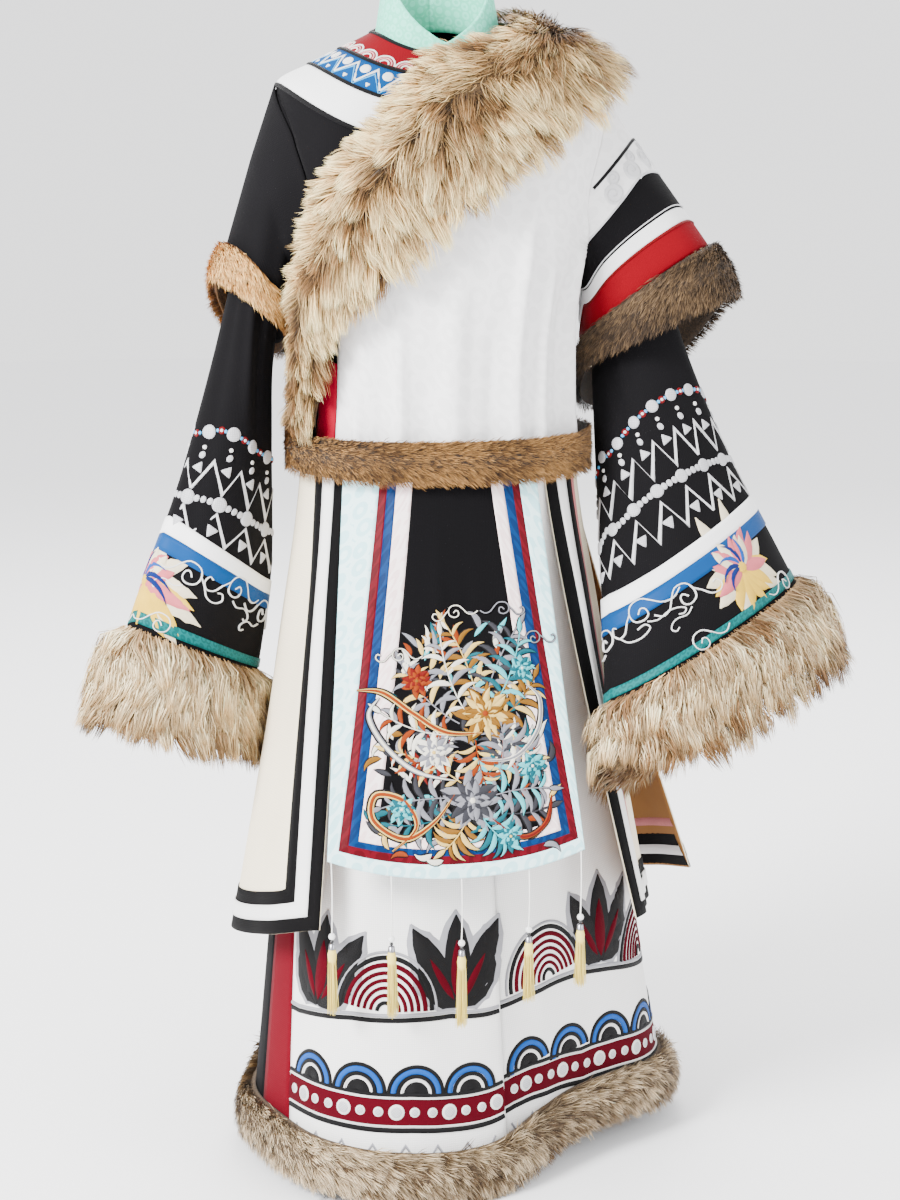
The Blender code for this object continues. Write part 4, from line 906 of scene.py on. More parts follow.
def up_skirt(angle, height):
    """Angle and run of the spots some metres above the skirt's hem."""
    angle = np.asarray(angle, float)
    return angle, 1 - np.asarray(height, float) / hang_length(skirt, angle)


def hem_walk(height, first, last, pitch):
    """Angles a pitch apart, in metres, along the skirt at a height above its hem."""
    angle = np.linspace(first, last, 400)
    line = skirt(*up_skirt(angle, height))
    way = np.concatenate([[0], np.cumsum(np.linalg.norm(np.diff(line, axis=0), axis=-1))])
    count = int(way[-1] / pitch)
    spare = (way[-1] - count * pitch) / 2
    return np.interp(spare + pitch * (np.arange(count) + 0.5), way, angle)


def palmette(work, u, v, size):
    """A black palmette with a crimson heart, edged in silver, between two leaves."""
    for heading in (-62, 62):
        petal(work, u, v, heading, 0.060 * size, 0.028 * size, STEEL, 0.0008, math.copysign(0.7, -heading),
              0.0, 0.6)
        petal(work, u, v, heading, 0.055 * size, 0.021 * size, BLACK, 0.0014, math.copysign(0.7, -heading),
              0.002, 0.6)
    for heading in (-30, 30, 0):
        petal(work, u, v, heading, 0.074 * size, 0.036 * size, STEEL, 0.0012, 0.0, 0.0, 0.6)
        petal(work, u, v, heading, 0.069 * size, 0.028 * size, BLACK, 0.0017, 0.0, 0.002, 0.6)
    petal(work, u, v, 0, 0.046 * size, 0.015 * size, SCARLET, 0.0022, 0.0, 0.008, 0.7)
    for heading in (-30, 30):
        petal(work, u, v, heading, 0.036 * size, 0.008 * size, SCARLET, 0.0022, 0.0, 0.012, 0.7)


for word, place, first, last in (("right", skirt_place, (-74, -56), (SEAM_ANGLE, SEAM_ANGLE)),
                                 ("left", lapped_place, (SEAM_ANGLE, SEAM_ANGLE), (88, 104))):
    work = Needlework(place, CLOTH)

    def edge(line, height):
        return mix(line[0], line[1], 1 - height / SKIRT_DROP)

    def stripe(table_row, off, wide, high, kind):
        height = np.interp(0, *table_row) + off
        angle = np.linspace(edge(first, height) + 0.5, edge(last, height) - 0.5, 80)
        work.line(*up_skirt(angle, np.interp(angle, *table_row) + off), wide, high, kind)

    angle = np.linspace(edge(first, 0.09) + 0.2, edge(last, 0.09) - 0.2, 80)
    top = np.interp(angle, *BAND_TOP)
    angle = angle[:, None] * np.ones((1, 5))
    work.field(*up_skirt(angle, top[:, None] - BAND_DEPTH * np.linspace(0, 1, 5)), 0.0010, SCARLET)
    for off, wide, kind in ((0.0025, 0.0052, BLACK), (-0.0018, 0.0016, THREAD_WHITE),
                            (-BAND_DEPTH + 0.0016, 0.0016, THREAD_WHITE),
                            (-BAND_DEPTH - 0.0036, 0.0066, BLACK)):
        stripe(BAND_TOP, off, wide, 0.0018, kind)
    for k, spot in enumerate(hem_walk(0.085, edge(first, 0.085), edge(last, 0.085), 0.0207)):
        size = 0.0102 if k % 3 == 1 else 0.0064
        height = np.interp(spot, *BAND_TOP) - BAND_DEPTH / 2
        work.dot(*up_skirt(spot, height), size, 0.0020, THREAD_WHITE)
        work.dot(*up_skirt(spot, height), size * 0.78, 0.0024, NET)
    for spot in hem_walk(0.11, edge(first, 0.11), edge(last, 0.11), SCALLOP_PITCH):
        base = up_skirt(spot, np.interp(spot, *BAND_TOP) + 0.0035)
        bow = np.linspace(0, math.pi, 21)
        for radius, wide, kind in ((0.0315, 0.0050, BLACK), (0.0262, 0.0072, BLUE), (0.0205, 0.0052, BLACK),
                                   (0.0168, 0.0026, THREAD_WHITE)):
            work.curl(*base, radius * np.cos(bow), -radius * np.sin(bow), wide, 0.0014, kind)
        bow = np.linspace(0, math.pi, 15)[:, None]
        reach = 0.0150 * np.linspace(1, 0.03, 5)[None]
        at = shifted(place, np.full((15, 5), base[0]), np.full((15, 5), base[1]), reach * np.cos(bow),
                     -reach * np.sin(bow))
        work.field(at[0], at[1], 0.0012, BLACK)
    stripe(LINE_TOP, 0.0, 0.0062, 0.0016, BLACK)
    stripe(LINE_TOP, 0.0056, 0.0046, 0.0016, STEEL)
    for k, spot in enumerate(hem_walk(0.19, edge(first, 0.19) + 2, edge(last, 0.19) - 2, 0.088)):
        base = up_skirt(spot, np.interp(spot, *LINE_TOP) + 0.010)
        if k % 2 == (word == "left"):
            palmette(work, *base, 1.55)
            continue
        bow = np.linspace(0.05, math.pi - 0.05, 25)
        for radius, wide, kind in FAN:
            work.curl(*base, radius * np.cos(bow), -radius * 1.15 * np.sin(bow), wide, 0.0016, kind)
    zig = hem_walk(0.03, edge(first, 0.03), edge(last, 0.03), 0.019)
    heights = (np.where(np.arange(len(zig)) % 2 == 0, 0.050, 0.022) - BAND_TOP_AT_FRONT
               + np.interp(zig, *BAND_TOP))
    work.line(*up_skirt(zig, heights), 0.0030, 0.0010, STEEL)
    for spot in zig[::2]:
        height = 0.026 - BAND_TOP_AT_FRONT + np.interp(spot, *BAND_TOP)
        work.dot(*up_skirt(spot, height), 0.0048, 0.0010, STEEL)
    work.finish("skirt_needlework_" + word, skirt_threads, "skirt_front_" + word)


# Robe skirt: three panels of cream wool with a tan lining, open at the front and vented at the left side. A
# black braid with a white ribbon on it runs down each front edge and round the hem, and inside the back
# panel as well.
ROBE_CENTRE = (0.035, 0.0)
ROBE_HEM_Z = -1.060
ROBE_HEM = table("radius left_radius rise", (
    (0.262, 0.240, 0.000), (0.280, 0.240, 0.000), (0.246, 0.240, 0.000), (0.262, 0.240, 0.000),
    (0.262, 0.240, 0.000), (0.282, 0.240, 0.004), (0.292, 0.240, 0.028), (0.288, 0.240, 0.055),
    (0.280, 0.240, 0.055), (0.260, 0.245, 0.050), (0.250, 0.256, 0.044), (0.250, 0.256, 0.040),
    (0.262, 0.226, 0.030), (0.290, 0.216, 0.022), (0.312, 0.226, 0.014), (0.306, 0.240, -0.012),
    (0.296, 0.240, -0.022), (0.262, 0.240, -0.008)))
ROBE_LEVEL = 0.0026
BRAID = 0.050
BRAID_STEPS = 34


def robe_skirt(angle, run):
    return hanging(angle, run, ROBE_CENTRE, ROBE_HEM_Z, ROBE_HEM["radius"], ROBE_HEM["rise"])


def robe_skirt_left(angle, run):
    return hanging(angle, run, ROBE_CENTRE, ROBE_HEM_Z, ROBE_HEM["left_radius"], ROBE_HEM["rise"])


def inset_angle(surface, edge, far, run, depth):
    """Angle that lies a given depth in from an edge, along the surface."""
    start = mix(edge[0], edge[1], run)
    toward = np.sign(far[0] - edge[0])
    step = np.linalg.norm(surface(start + toward, run) - surface(start, run), axis=-1)
    return start + toward * depth / step


def border_net(surface, edge, far, depths):
    """Net of a braid down a front edge, if edge is bordered, and round the hem, mitred at the corner."""
    angle, run = [], []
    for depth in depths:
        share = np.linspace(0, 1, BRAID_STEPS)
        low = 1 - depth / hang_length(surface, edge[1])
        side = share * low
        start = inset_angle(surface, edge, far, side, depth)
        hem = mix(start[-1], far[1], share[1:])
        angle.append(np.concatenate([start, hem]))
        run.append(np.concatenate([side, 1 - depth / hang_length(surface, hem)]))
    return np.array(angle).T, np.array(run).T


cream_wool = woven("cream_wool_cloth", "f6e9cd", thread=1.4, uneven=0.05)
tan_lining = woven("tan_cotton_lining", "a47445", thread=0.9)
black_braid = woven("black_wool_braid", "0c0b0c", thread=1.1)
white_ribbon_wool = woven("white_wool_ribbon", "f5f4f2", thread=1.0, uneven=0.04)
pink_floss_strip = floss("dusty_pink_silk_strip", "d88080", roughness=0.55)
robe_creases = creases((
    (-52, 0.05, -54, 1.3, 5, 0.0035), (-64, 0.05, -68, 1.3, 5, -0.0025), (-78, 0.04, -82, 1.3, 7, 0.005),
    (-92, 0.1, -96, 1.3, 5, 0.003), (45, 0.02, 49, 1.3, 4, 0.0045), (56, 0.02, 60, 1.3, 5, 0.004),
    (68, 0.02, 72, 1.3, 5, 0.006), (82, 0.05, 85, 1.3, 5, 0.004), (112, 0.06, 118, 1.3, 7, 0.006),
    (131, 0.1, 136, 1.3, 6, -0.002), (150, 0.05, 154, 1.3, 8, 0.007), (172, 0.1, 175, 1.3, 7, -0.002),
    (190, 0.04, 192, 1.3, 8, 0.006), (214, 0.1, 212, 1.3, 7, 0.005), (238, 0.06, 240, 1.3, 8, 0.006)))
for word, surface, edge, far, columns in (
        ("right", robe_skirt, (-45.0, -43.0), (-100.0, -100.0), 41),
        ("left", robe_skirt_left, (37.0, 42.0), (92.0, 95.0), 41),
        ("back", robe_skirt, (96.0, 104.0), (260.0, 260.0), 81)):
    place = cloth_place(surface, creases=robe_creases)
    angle, run = panel(edge, far, columns, 41)
    node = "robe_skirt_" + word
    if word == "right":
        angle, run = angle[::-1], run[::-1]
    sewn(node + "_cloth", place, angle, run, ROBE_LEVEL, CLOTH, [cream_wool, tan_lining], node)
    level = ROBE_LEVEL + CLOTH + LAY
    for name, depths, cloth in (("border", (0.0, 0.008, 0.017, 0.025, 0.033, 0.042, BRAID), black_braid),
                                ("ribbon", (0.016, 0.022, 0.028, 0.034), white_ribbon_wool)):
        if word == "back":
            share, depth = grid(np.linspace(0, 1, 81), depths)
            angle = mix(edge[1], far[1], share)
            run = 1 - depth / hang_length(surface, angle)
        else:
            angle, run = border_net(surface, edge, far, depths)
        if word != "right":
            angle, run = angle[:, ::-1], run[:, ::-1]
        sewn("robe_%s_%s_cloth" % (name, word), place, angle, run, level, TRIM, [cloth],
             "robe_%s_%s" % (name, word))
        level += TRIM + LAY
    strip = Needlework(place, ROBE_LEVEL + CLOTH)
    if word == "left":
        share = np.linspace(0, 0.9, 40)
        strip.line(inset_angle(surface, edge, far, share, 0.0575), share, 0.011, 0.0008, 0)
        strip.finish("dusty_pink_strip_left", [pink_floss_strip], node)
inside_place = cloth_place(robe_skirt, side=-1, creases=lambda u, v: -robe_creases(u, v))
inside_work = Needlework(inside_place, -ROBE_LEVEL)
inside_angle = np.linspace(104.6, 160, 60)
for depth, wide, kind, high in ((BRAID / 2 + 0.0005, BRAID, 0, 0.0010), (0.025, 0.018, 1, 0.0018),
                                (0.066, 0.013, 2, 0.0010)):
    inside_work.line(inside_angle, 1 - depth / hang_length(robe_skirt, inside_angle), wide, high, kind)
inside_work.finish("inside_hem_ribbons", [black_braid, white_ribbon_wool, pink_floss_strip],
                   "robe_border_back")


# Over-robe: white figured silk, worn off the right shoulder, so its front edge runs from the left shoulder
# to the right waist under the fur. A crimson strip faces the edge above the belt. The cloth is gathered a
# little there.
FRONT_EDGE = table("angle row", (
    (90, 1.4), (62, 1.45), (36, 1.6), (14, 2.1), (0, 3.0), (-13, 4.0), (-27, 5.1), (-39, 6.1), (-47, 7.0),
    (-52, 8.2), (-52, 10)))
over_creases = creases((
    (-40, 8.4, -38, 12, 2.4, 0.0070), (-30, 7.2, -27, 12, 4, -0.0040), (-20, 6.6, -19, 12, 2.4, 0.0084),
    (-10, 7.6, -11, 12, 4, -0.0042), (0, 5.4, -2, 12, 2.8, 0.0092), (12, 6.8, 10, 12, 3, -0.0042),
    (24, 4.2, 20, 12, 3.2, 0.0094), (38, 5.8, 33, 12, 2.8, 0.0080), (50, 6.4, 45, 12, 4, -0.0040),
    (62, 5.0, 58, 12, 3.4, 0.0090), (100, 6.5, 104, 12, 5, 0.0052), (122, 4.5, 124, 12, 6, 0.0063),
    (140, 6.5, 139, 12, 5, -0.0027), (158, 5.0, 160, 12, 6, 0.0063), (178, 6.0, 177, 12, 5, 0.0046),
    (196, 4.5, 199, 12, 6, 0.0063), (214, 6.0, 216, 12, 5, 0.0052)))
over_place = cloth_place(torso, creases=over_creases)
white_silk = satin("white_figured_silk", "e6e5e5", thread=0.8, roughness=0.5, sheen=0.1, uneven=0.02,
                   motif=26, second="ebeaea")
over_share, over_row = grid(np.linspace(0, 1, 77), np.linspace(SHOULDER, WAIST, 45))
over_down = (over_row - SHOULDER) / (WAIST - SHOULDER) * (len(FRONT_EDGE["row"]) - 1)
over_angle = mix(smooth(FRONT_EDGE["angle"], over_down), over_edge(over_row), over_share)
over_rows = mix(smooth(FRONT_EDGE["row"], over_down), over_row, over_share)
sewn("overrobe_front_cloth", over_place, over_angle, over_rows, over_level(over_rows), CLOTH, [white_silk],
     "overrobe_front")
sewn("overrobe_back_cloth", over_place, (180 - over_angle)[::-1], over_rows[::-1],
     over_level(over_rows[::-1]), CLOTH, [white_silk], "overrobe_back")
strip_angle, strip_row = grid(np.linspace(-67, -52.6, 9), np.linspace(8.4, WAIST, 21))
sewn("front_edge_strip_cloth", over_place, strip_angle, strip_row, over_level(strip_row), CLOTH,
     [woven("crimson_strip_cloth", "960024", thread=1.1)], "front_edge_strip")


# Over-sleeves: short and wide. The left one is pieced from white, black, white and red bands, with piping
# above a band of silver stitching; the right one is plain black. Both end in fur.
LEFT_OVER = table(SLEEVE_NAMES, (
    (0.240, 0.002, -0.145, 0.172, -0.022, -0.305, 0.078, 0.070, 0.010),
    (0.322, 0.012, -0.274, 0.176, -0.040, -0.356, 0.082, 0.076, 0.034)))
RIGHT_OVER = table(SLEEVE_NAMES, (
    (-0.211, 0.008, -0.150, -0.166, 0.008, -0.305, 0.067, 0.066, 0.006),
    (-0.246, 0.008, -0.266, -0.174, 0.026, -0.358, 0.069, 0.066, 0.022)))
LEFT_BANDS = ((1.0, "top"), (0.080, "black"), (0.041, "white"), (0.028, "red"))
LEAST_BAND = 0.035


def left_over(turn, run):
    return sleeve(turn, run, LEFT_OVER, 1, True)


def right_over(turn, run):
    return sleeve(turn, run, RIGHT_OVER, -1, True)


def band_start(turn, height, number):
    """Run at which a band starts, so that it stays level with the hem and narrows only under the arm."""
    return np.maximum(1 - height / hang_length(left_over, turn), number * LEAST_BAND)


left_over_place = cloth_place(left_over, side=-1, creases=creases((
    (60, 0.1, 76, 1.2, 14, 0.0025), (100, 0.2, 108, 1.2, 12, -0.0018), (250, 0.1, 262, 1.2, 16, 0.003),
    (306, 0.2, 300, 1.2, 14, 0.0025), (20, 0.3, 22, 1.3, 10, 0.0018))))
right_over_place = cloth_place(right_over, creases=creases((
    (70, 0.1, 80, 1.2, 14, 0.0022), (110, 0.15, 120, 1.2, 12, 0.0026), (250, 0.1, 258, 1.2, 16, 0.003),
    (310, 0.2, 300, 1.2, 14, 0.0022))))
over_turn = np.linspace(0, 360, SLEEVE_COLUMNS + 1)
band_cloths = {"top": white_silk, "black": black_wool, "white": white_cotton,
               "red": woven("scarlet_wool_cloth", "7a0012", thread=1.0)}
band_starts = [band_start(over_turn[:-1], height, i) for i, (height, _) in enumerate(LEFT_BANDS)]
band_starts.append(np.ones(SLEEVE_COLUMNS))
for i, (_, word) in enumerate(LEFT_BANDS):
    share = np.linspace(0, 1, 22 if i == 0 else 9)
    run = mix(band_starts[i][:, None], band_starts[i + 1][:, None], share)
    turn = np.broadcast_to(over_turn[:-1, None], run.shape)
    node = "left_oversleeve_" + word
    sewn(node + "_cloth", left_over_place, turn[::-1], run[::-1], -CLOTH, CLOTH,
         [band_cloths[word], cream_wool], node, closed=True)
turn, run = grid(over_turn[:-1], np.linspace(0, 1, 26))
sewn("right_oversleeve_cloth", right_over_place, turn, run, -CLOTH, CLOTH, [black_wool], "right_oversleeve",
     closed=True)

(BLACK_PIPING, SILVER_STITCH, RED_PIPING, PEARL_STITCH) = range(4)
band_work = Needlework(left_over_place, 0.0)
for height, wide, kind in ((0.132, 0.0042, BLACK_PIPING), (0.0795, 0.0020, SILVER_STITCH),
                           (0.0435, 0.0016, SILVER_STITCH), (0.0265, 0.0016, RED_PIPING)):
    turn = np.linspace(-180, 180, 145)
    turn = turn[1 - height / hang_length(left_over, turn) > 0.02]
    band_work.line(turn, 1 - height / hang_length(left_over, turn), wide, 0.0012, kind)
for k in range(15):
    turn = 12 + 24 * k
    for height, radius, shift in ((0.098, 0.0125, 0), (0.117, 0.0085, 12)):
        middle = 1 - height / float(hang_length(left_over, turn + shift))
        if middle < 0.16:
            continue
        spot = (turn + shift, middle)
        band_work.dot(*spot, radius, 0.0006, PEARL_STITCH)
        bow = np.linspace(0, 2 * math.pi * 1.6, 30)
        reach = radius * (0.15 + 0.85 * bow / bow[-1])
        band_work.curl(*spot, reach * np.cos(bow), reach * np.sin(bow), 0.0014, 0.0014, SILVER_STITCH)
band_work.finish("left_oversleeve_needlework",
                 [black_cord, silver_cord, floss("scarlet_piping_cord", "720102"),
                  floss("pearl_silver_floss", "ececee", pitch=1.0, metal=0.05, roughness=0.4)],
                 "left_oversleeve_top")


# Apron: a black centre panel with four mitred bands of figured silk round three sides, hung from the belt.
# Flowers, leaves and scrolls in many flosses fill the lower half of the centre and run over the bands.
APRON = table("left_x left_y centre_y right_y right_x edge_z centre_z", (
    (-0.121, -0.1085, -0.1465, -0.1310, 0.098, -0.486, -0.486),
    (-0.157, -0.2330, -0.2480, -0.2330, 0.137, -0.920, -0.942)))
APRON_FREE = 0.06
APRON_LINES = table("left_top left_hem right_top right_hem hem", (
    (-30, -63, 48, 71, 0.903), (-46, -77, 61, 83, 0.930), (-55, -84.5, 71, 90, 0.946),
    (-63, -92, 79, 96, 0.966), (-100, -100, 100, 100, 1.0)))
LINE_STEPS = 30


def apron(across, down):
    """It hangs straight behind the belt, then leans out over the skirt; across runs from -100 to 100."""
    across, down = np.broadcast_arrays(np.asarray(across, float) / 100, np.asarray(down, float))
    lean = np.maximum((down - APRON_FREE) / (1 - APRON_FREE), 0)
    get = {name: mix(ends[0], ends[1], lean) for name, ends in APRON.items()}
    bend = np.abs(across) ** 2.2
    x = mix(get["left_x"], get["right_x"], (across + 1) / 2)
    y = mix(get["centre_y"], np.where(across < 0, get["left_y"], get["right_y"]), bend)
    edge_z, centre_z = (mix(APRON[name][0], APRON[name][1], down) for name in ("edge_z", "centre_z"))
    return points(x, y, mix(centre_z, edge_z, bend))


def apron_line(i):
    """Left side down, hem across and right side up, for one of the lines that part the bands."""
    get = {name: values[i] for name, values in APRON_LINES.items()}
    share = np.linspace(0, 1, LINE_STEPS + 1)
    across = np.concatenate([mix(get["left_top"], get["left_hem"], share),
                             mix(get["left_hem"], get["right_hem"], share)[1:],
                             mix(get["right_hem"], get["right_top"], share)[1:]])
    down = np.concatenate([share * get["hem"], np.full(LINE_STEPS, get["hem"]), (1 - share[1:]) * get["hem"]])
    return across, down


apron_creases = creases((
    (-72, 0.05, -84, 1.3, 8, 0.0016), (-40, 0.15, -46, 1.3, 9, -0.0012), (-8, 0.05, -12, 1.3, 8, 0.0018),
    (18, 0.12, 22, 1.3, 7, -0.0012), (52, 0.08, 60, 1.3, 8, 0.0018), (84, 0.2, 90, 1.3, 6, -0.0012)))
apron_place = cloth_place(apron, creases=apron_creases)
apron_share, apron_down = grid(np.linspace(0, 1, 41), np.linspace(0, 1, 41))
apron_left, apron_right = (mix(APRON_LINES[word + "_top"][0], APRON_LINES[word + "_hem"][0], apron_down)
                           for word in ("left", "right"))
black_silk = woven("black_silk_twill", "09080a", thread=0.9, sheen=0.01, uneven=0.1)
sewn("apron_centre_cloth", apron_place, mix(apron_left, apron_right, apron_share),
     apron_down * APRON_LINES["hem"][0], 0.0, CLOTH, [black_silk], "apron_centre")
for i, (node, colour, second) in enumerate((
        ("apron_pink", "f2d8d8", "f6e6e4"), ("apron_blue", "002450", "002e60"),
        ("apron_red", "4c000c", "5a0012"), ("apron_border", "b4e8ee", "d2f4f6"))):
    inside, outside = apron_line(i), apron_line(i + 1)
    part = np.linspace(0, 1, 6 if i < 3 else 9)
    across, down = (mix(outside[k][:, None], inside[k][:, None], part) for k in (0, 1))
    cloth = satin(node.replace("apron", "figured_silk"), colour, thread=0.8, roughness=0.42, uneven=0.06,
                  motif=22, second=second)
    sewn(node + "_band", apron_place, across[::-1], down[::-1], 0.0, CLOTH, [cloth], node)


# Apron embroidery: a dense spray of ordinary flowers, arching leaves and ribbons, each petal in satin stitch
# with a dark outline beneath it, in cream, gold, orange, teal, grey and red. It is worked on the centre and
# over the bands.
apron_threads = [floss("cream_gold_floss", "ecc872"), floss("old_gold_floss", "8b5d15"),
                 floss("orange_floss", "923803"), floss("teal_floss", "01606d"),
                 floss("pale_teal_floss", "56c8d0"), floss("pearl_grey_floss", "8c8c94"),
                 floss("slate_grey_floss", "36363c"), floss("brick_red_floss", "720d03"),
                 floss("dark_outline_floss", "0a090a"), floss("ivory_floss", "f6f2e2")]
(GOLD_CREAM, OLD_GOLD, ORANGE, TEAL, PALE_TEAL, GREY, SLATE, BRICK, OUTLINE, IVORY) = range(10)
LEAF_PAIRS = 6
apron_work = Needlework(apron_place, CLOTH)


def apron_spot(x, z):
    """Across and down for a spot x metres right of the centre line and at height z."""
    down = (APRON["centre_z"][0] - z) / (APRON["centre_z"][0] - APRON["centre_z"][1])
    lean = max((down - APRON_FREE) / (1 - APRON_FREE), 0)
    left, right = (mix(APRON[word][0], APRON[word][1], lean) for word in ("left_x", "right_x"))
    return ((x - left) / (right - left) * 2 - 1) * 100, down


def stitched_leaf(x, z, heading, reach, wide, kind, high=0.0012, bend=0.0, blunt=1.0):
    """A leaf or petal with a dark outline beneath it; one that would run off the apron is left out."""
    turn = math.radians(heading)
    tip = apron_spot(x + reach * math.sin(turn), z + reach * math.cos(turn))
    if abs(tip[0]) > 96 or tip[1] > 0.985:
        return
    spot = apron_spot(x, z)
    petal(apron_work, *spot, heading, reach * 1.05, wide * 1.25, OUTLINE, high * 0.75, bend, -0.0006, blunt)
    petal(apron_work, *spot, heading, reach, wide, kind, high, bend, 0.0, blunt)


def stitched_flower(x, z, size, kinds, petals=9, turn=0.0):
    """Rings of petals, each smaller and higher than the last."""
    for ring, reach in enumerate((1.0, 0.80, 0.60, 0.42, 0.26)):
        count = petals - ring
        for k in range(count):
            heading = turn + 24 * ring + 360 * k / count + 5 * math.sin(7 * k + ring)
            stitched_leaf(x, z, heading, size * reach * (1 + 0.10 * math.sin(5 * k + 2 * ring)),
                          size * reach * 4.6 / count, kinds[ring % 2], 0.0018 + 0.0005 * ring,
                          0.3 * math.sin(3 * k + ring), 0.7)
    apron_work.dot(*apron_spot(x, z), size * 0.11, 0.0046, kinds[2])


def stitched_ribbon(path, wide, kind, edge):
    """A flowing ribbon through points, with a paler edge and a dark outline."""
    spots = np.array([apron_spot(x, z) for x, z in eased(path, 46)])
    swell = np.clip(np.sin(math.pi * np.linspace(0.04, 0.96, 46)) * 1.25, 0.25, 1)
    for broad, high, thread in ((1.35, 0.0016, OUTLINE), (1.0, 0.0021, edge), (0.55, 0.0025, kind)):
        apron_work.line(spots[:, 0], spots[:, 1], wide * swell * broad, high, thread)


def plume(x, z, heading, reach, curve, kinds, high):
    """An arching spine with narrow curled leaves in pairs, longest in its middle."""
    turn = np.radians(heading + curve * np.linspace(0, 1, 25))
    line = np.stack([x + np.cumsum(np.sin(turn)) * reach / 25, z + np.cumsum(np.cos(turn)) * reach / 25], -1)
    line = line[[abs(apron_spot(*spot)[0]) < 92 for spot in line]]
    spots = np.array([apron_spot(*spot) for spot in line])
    apron_work.line(spots[:, 0], spots[:, 1], 0.0030, high * 0.8, OUTLINE)
    apron_work.line(spots[:, 0], spots[:, 1], 0.0019, high * 1.2, kinds[0])
    for k in range(LEAF_PAIRS):
        at = 3 + int(k / LEAF_PAIRS * 21)
        if at >= len(line):
            break
        size = math.sin(math.pi * (0.28 + 0.60 * k / LEAF_PAIRS))
        for side in (-1, 1):
            stitched_leaf(*line[at], math.degrees(turn[at]) + side * (52 - 3 * k), 0.031 * size,
                          0.0085 * size, kinds[(k + (side > 0)) % len(kinds)], high + 0.0002 * (k % 3),
                          0.55 * side, 0.8)
    stitched_leaf(*line[-1], math.degrees(turn[len(line) - 1]), 0.018, 0.0075, kinds[0], high + 0.0004)


chance = np.random.default_rng(5)
for k in range(120):
    z = chance.uniform(-0.925, -0.668)
    x = 0.002 + chance.uniform(-1, 1) * np.interp(z, (-0.92, -0.76, -0.66), (0.100, 0.092, 0.040))
    heading = math.degrees(math.atan2(x, z + 0.90)) + chance.uniform(-50, 50)
    stitched_leaf(x, z, heading, chance.uniform(0.018, 0.030), chance.uniform(0.0065, 0.0095),
                  (GREY, GOLD_CREAM, IVORY, SLATE, ORANGE, GREY, PALE_TEAL, OLD_GOLD, IVORY, TEAL)[k % 10],
                  chance.uniform(0.0008, 0.0012), chance.uniform(-0.9, 0.9), 0.8)
for k, (x, z, heading, reach, curve, kinds) in enumerate((
        (0.020, -0.760, -8, 0.105, -25, (GOLD_CREAM, OLD_GOLD)),
        (0.025, -0.760, 12, 0.098, 28, (GREY, SLATE)), (0.010, -0.770, -34, 0.100, 30, (IVORY, GREY)),
        (0.030, -0.765, 40, 0.094, -30, (PALE_TEAL, TEAL)),
        (0.000, -0.775, -62, 0.095, 34, (GREY, GOLD_CREAM)),
        (0.032, -0.775, 72, 0.068, -40, (OLD_GOLD, GOLD_CREAM)),
        (-0.002, -0.785, -92, 0.092, 30, (IVORY, ORANGE)), (0.030, -0.790, 104, 0.060, 40, (GREY, IVORY)),
        (0.004, -0.845, -48, 0.098, -34, (GOLD_CREAM, IVORY)),
        (0.012, -0.850, 34, 0.080, 30, (TEAL, PALE_TEAL)), (-0.006, -0.855, -84, 0.090, -30, (GREY, SLATE)),
        (0.020, -0.858, 74, 0.078, 34, (GREY, PALE_TEAL)), (-0.004, -0.865, -118, 0.084, 26, (TEAL, GREY)),
        (0.020, -0.868, 112, 0.078, -26, (SLATE, GREY)),
        (0.004, -0.872, -158, 0.048, 30, (GOLD_CREAM, OLD_GOLD)),
        (0.016, -0.872, 152, 0.050, -26, (PALE_TEAL, TEAL)),
        (-0.004, -0.812, -76, 0.060, -44, (ORANGE, BRICK)),
        (0.026, -0.818, 84, 0.056, 20, (GOLD_CREAM, ORANGE)),
        (0.014, -0.790, 176, 0.052, -14, (ORANGE, GOLD_CREAM)),
        (0.040, -0.830, 20, 0.050, -30, (GREY, SLATE)), (-0.030, -0.830, -20, 0.050, 34, (SLATE, GREY)))):
    plume(x, z, heading, reach, curve, kinds, 0.0010 + 0.0002 * (k % 4))
for path, wide, kind, edge in (
        (((-0.084, -0.915), (-0.056, -0.886), (-0.070, -0.858), (-0.100, -0.856), (-0.104, -0.884),
          (-0.070, -0.900), (-0.036, -0.880), (-0.012, -0.850)), 0.0092, ORANGE, GOLD_CREAM),
        (((-0.012, -0.835), (-0.055, -0.825), (-0.088, -0.800), (-0.104, -0.770), (-0.092, -0.748)),
         0.0080, IVORY, GREY),
        (((0.022, -0.785), (-0.020, -0.782), (-0.055, -0.762), (-0.088, -0.742), (-0.116, -0.744)),
         0.0084, ORANGE, GOLD_CREAM),
        (((0.020, -0.815), (0.058, -0.816), (0.086, -0.792), (0.090, -0.758), (0.074, -0.738)),
         0.0064, GREY, IVORY),
        (((0.030, -0.880), (0.064, -0.905), (0.092, -0.896), (0.100, -0.868)), 0.0066, BRICK, ORANGE)):
    stitched_ribbon(path, wide, kind, edge)
for x, z, size, kinds, petals, turn in (
        (0.026, -0.764, 0.036, (OLD_GOLD, GOLD_CREAM, ORANGE), 13, 10),
        (0.008, -0.858, 0.036, (GREY, SLATE, IVORY), 10, 20),
        (-0.034, -0.804, 0.024, (IVORY, GREY, GOLD_CREAM), 9, 0),
        (-0.050, -0.726, 0.019, (ORANGE, BRICK, OLD_GOLD), 8, 5),
        (0.078, -0.830, 0.020, (TEAL, PALE_TEAL, IVORY), 8, 15),
        (-0.072, -0.868, 0.018, (PALE_TEAL, TEAL, IVORY), 8, 40),
        (0.070, -0.720, 0.017, (PALE_TEAL, TEAL, IVORY), 8, 0),
        (0.050, -0.902, 0.018, (TEAL, PALE_TEAL, GOLD_CREAM), 8, 10)):
    stitched_flower(x, z, size, kinds, petals, turn)
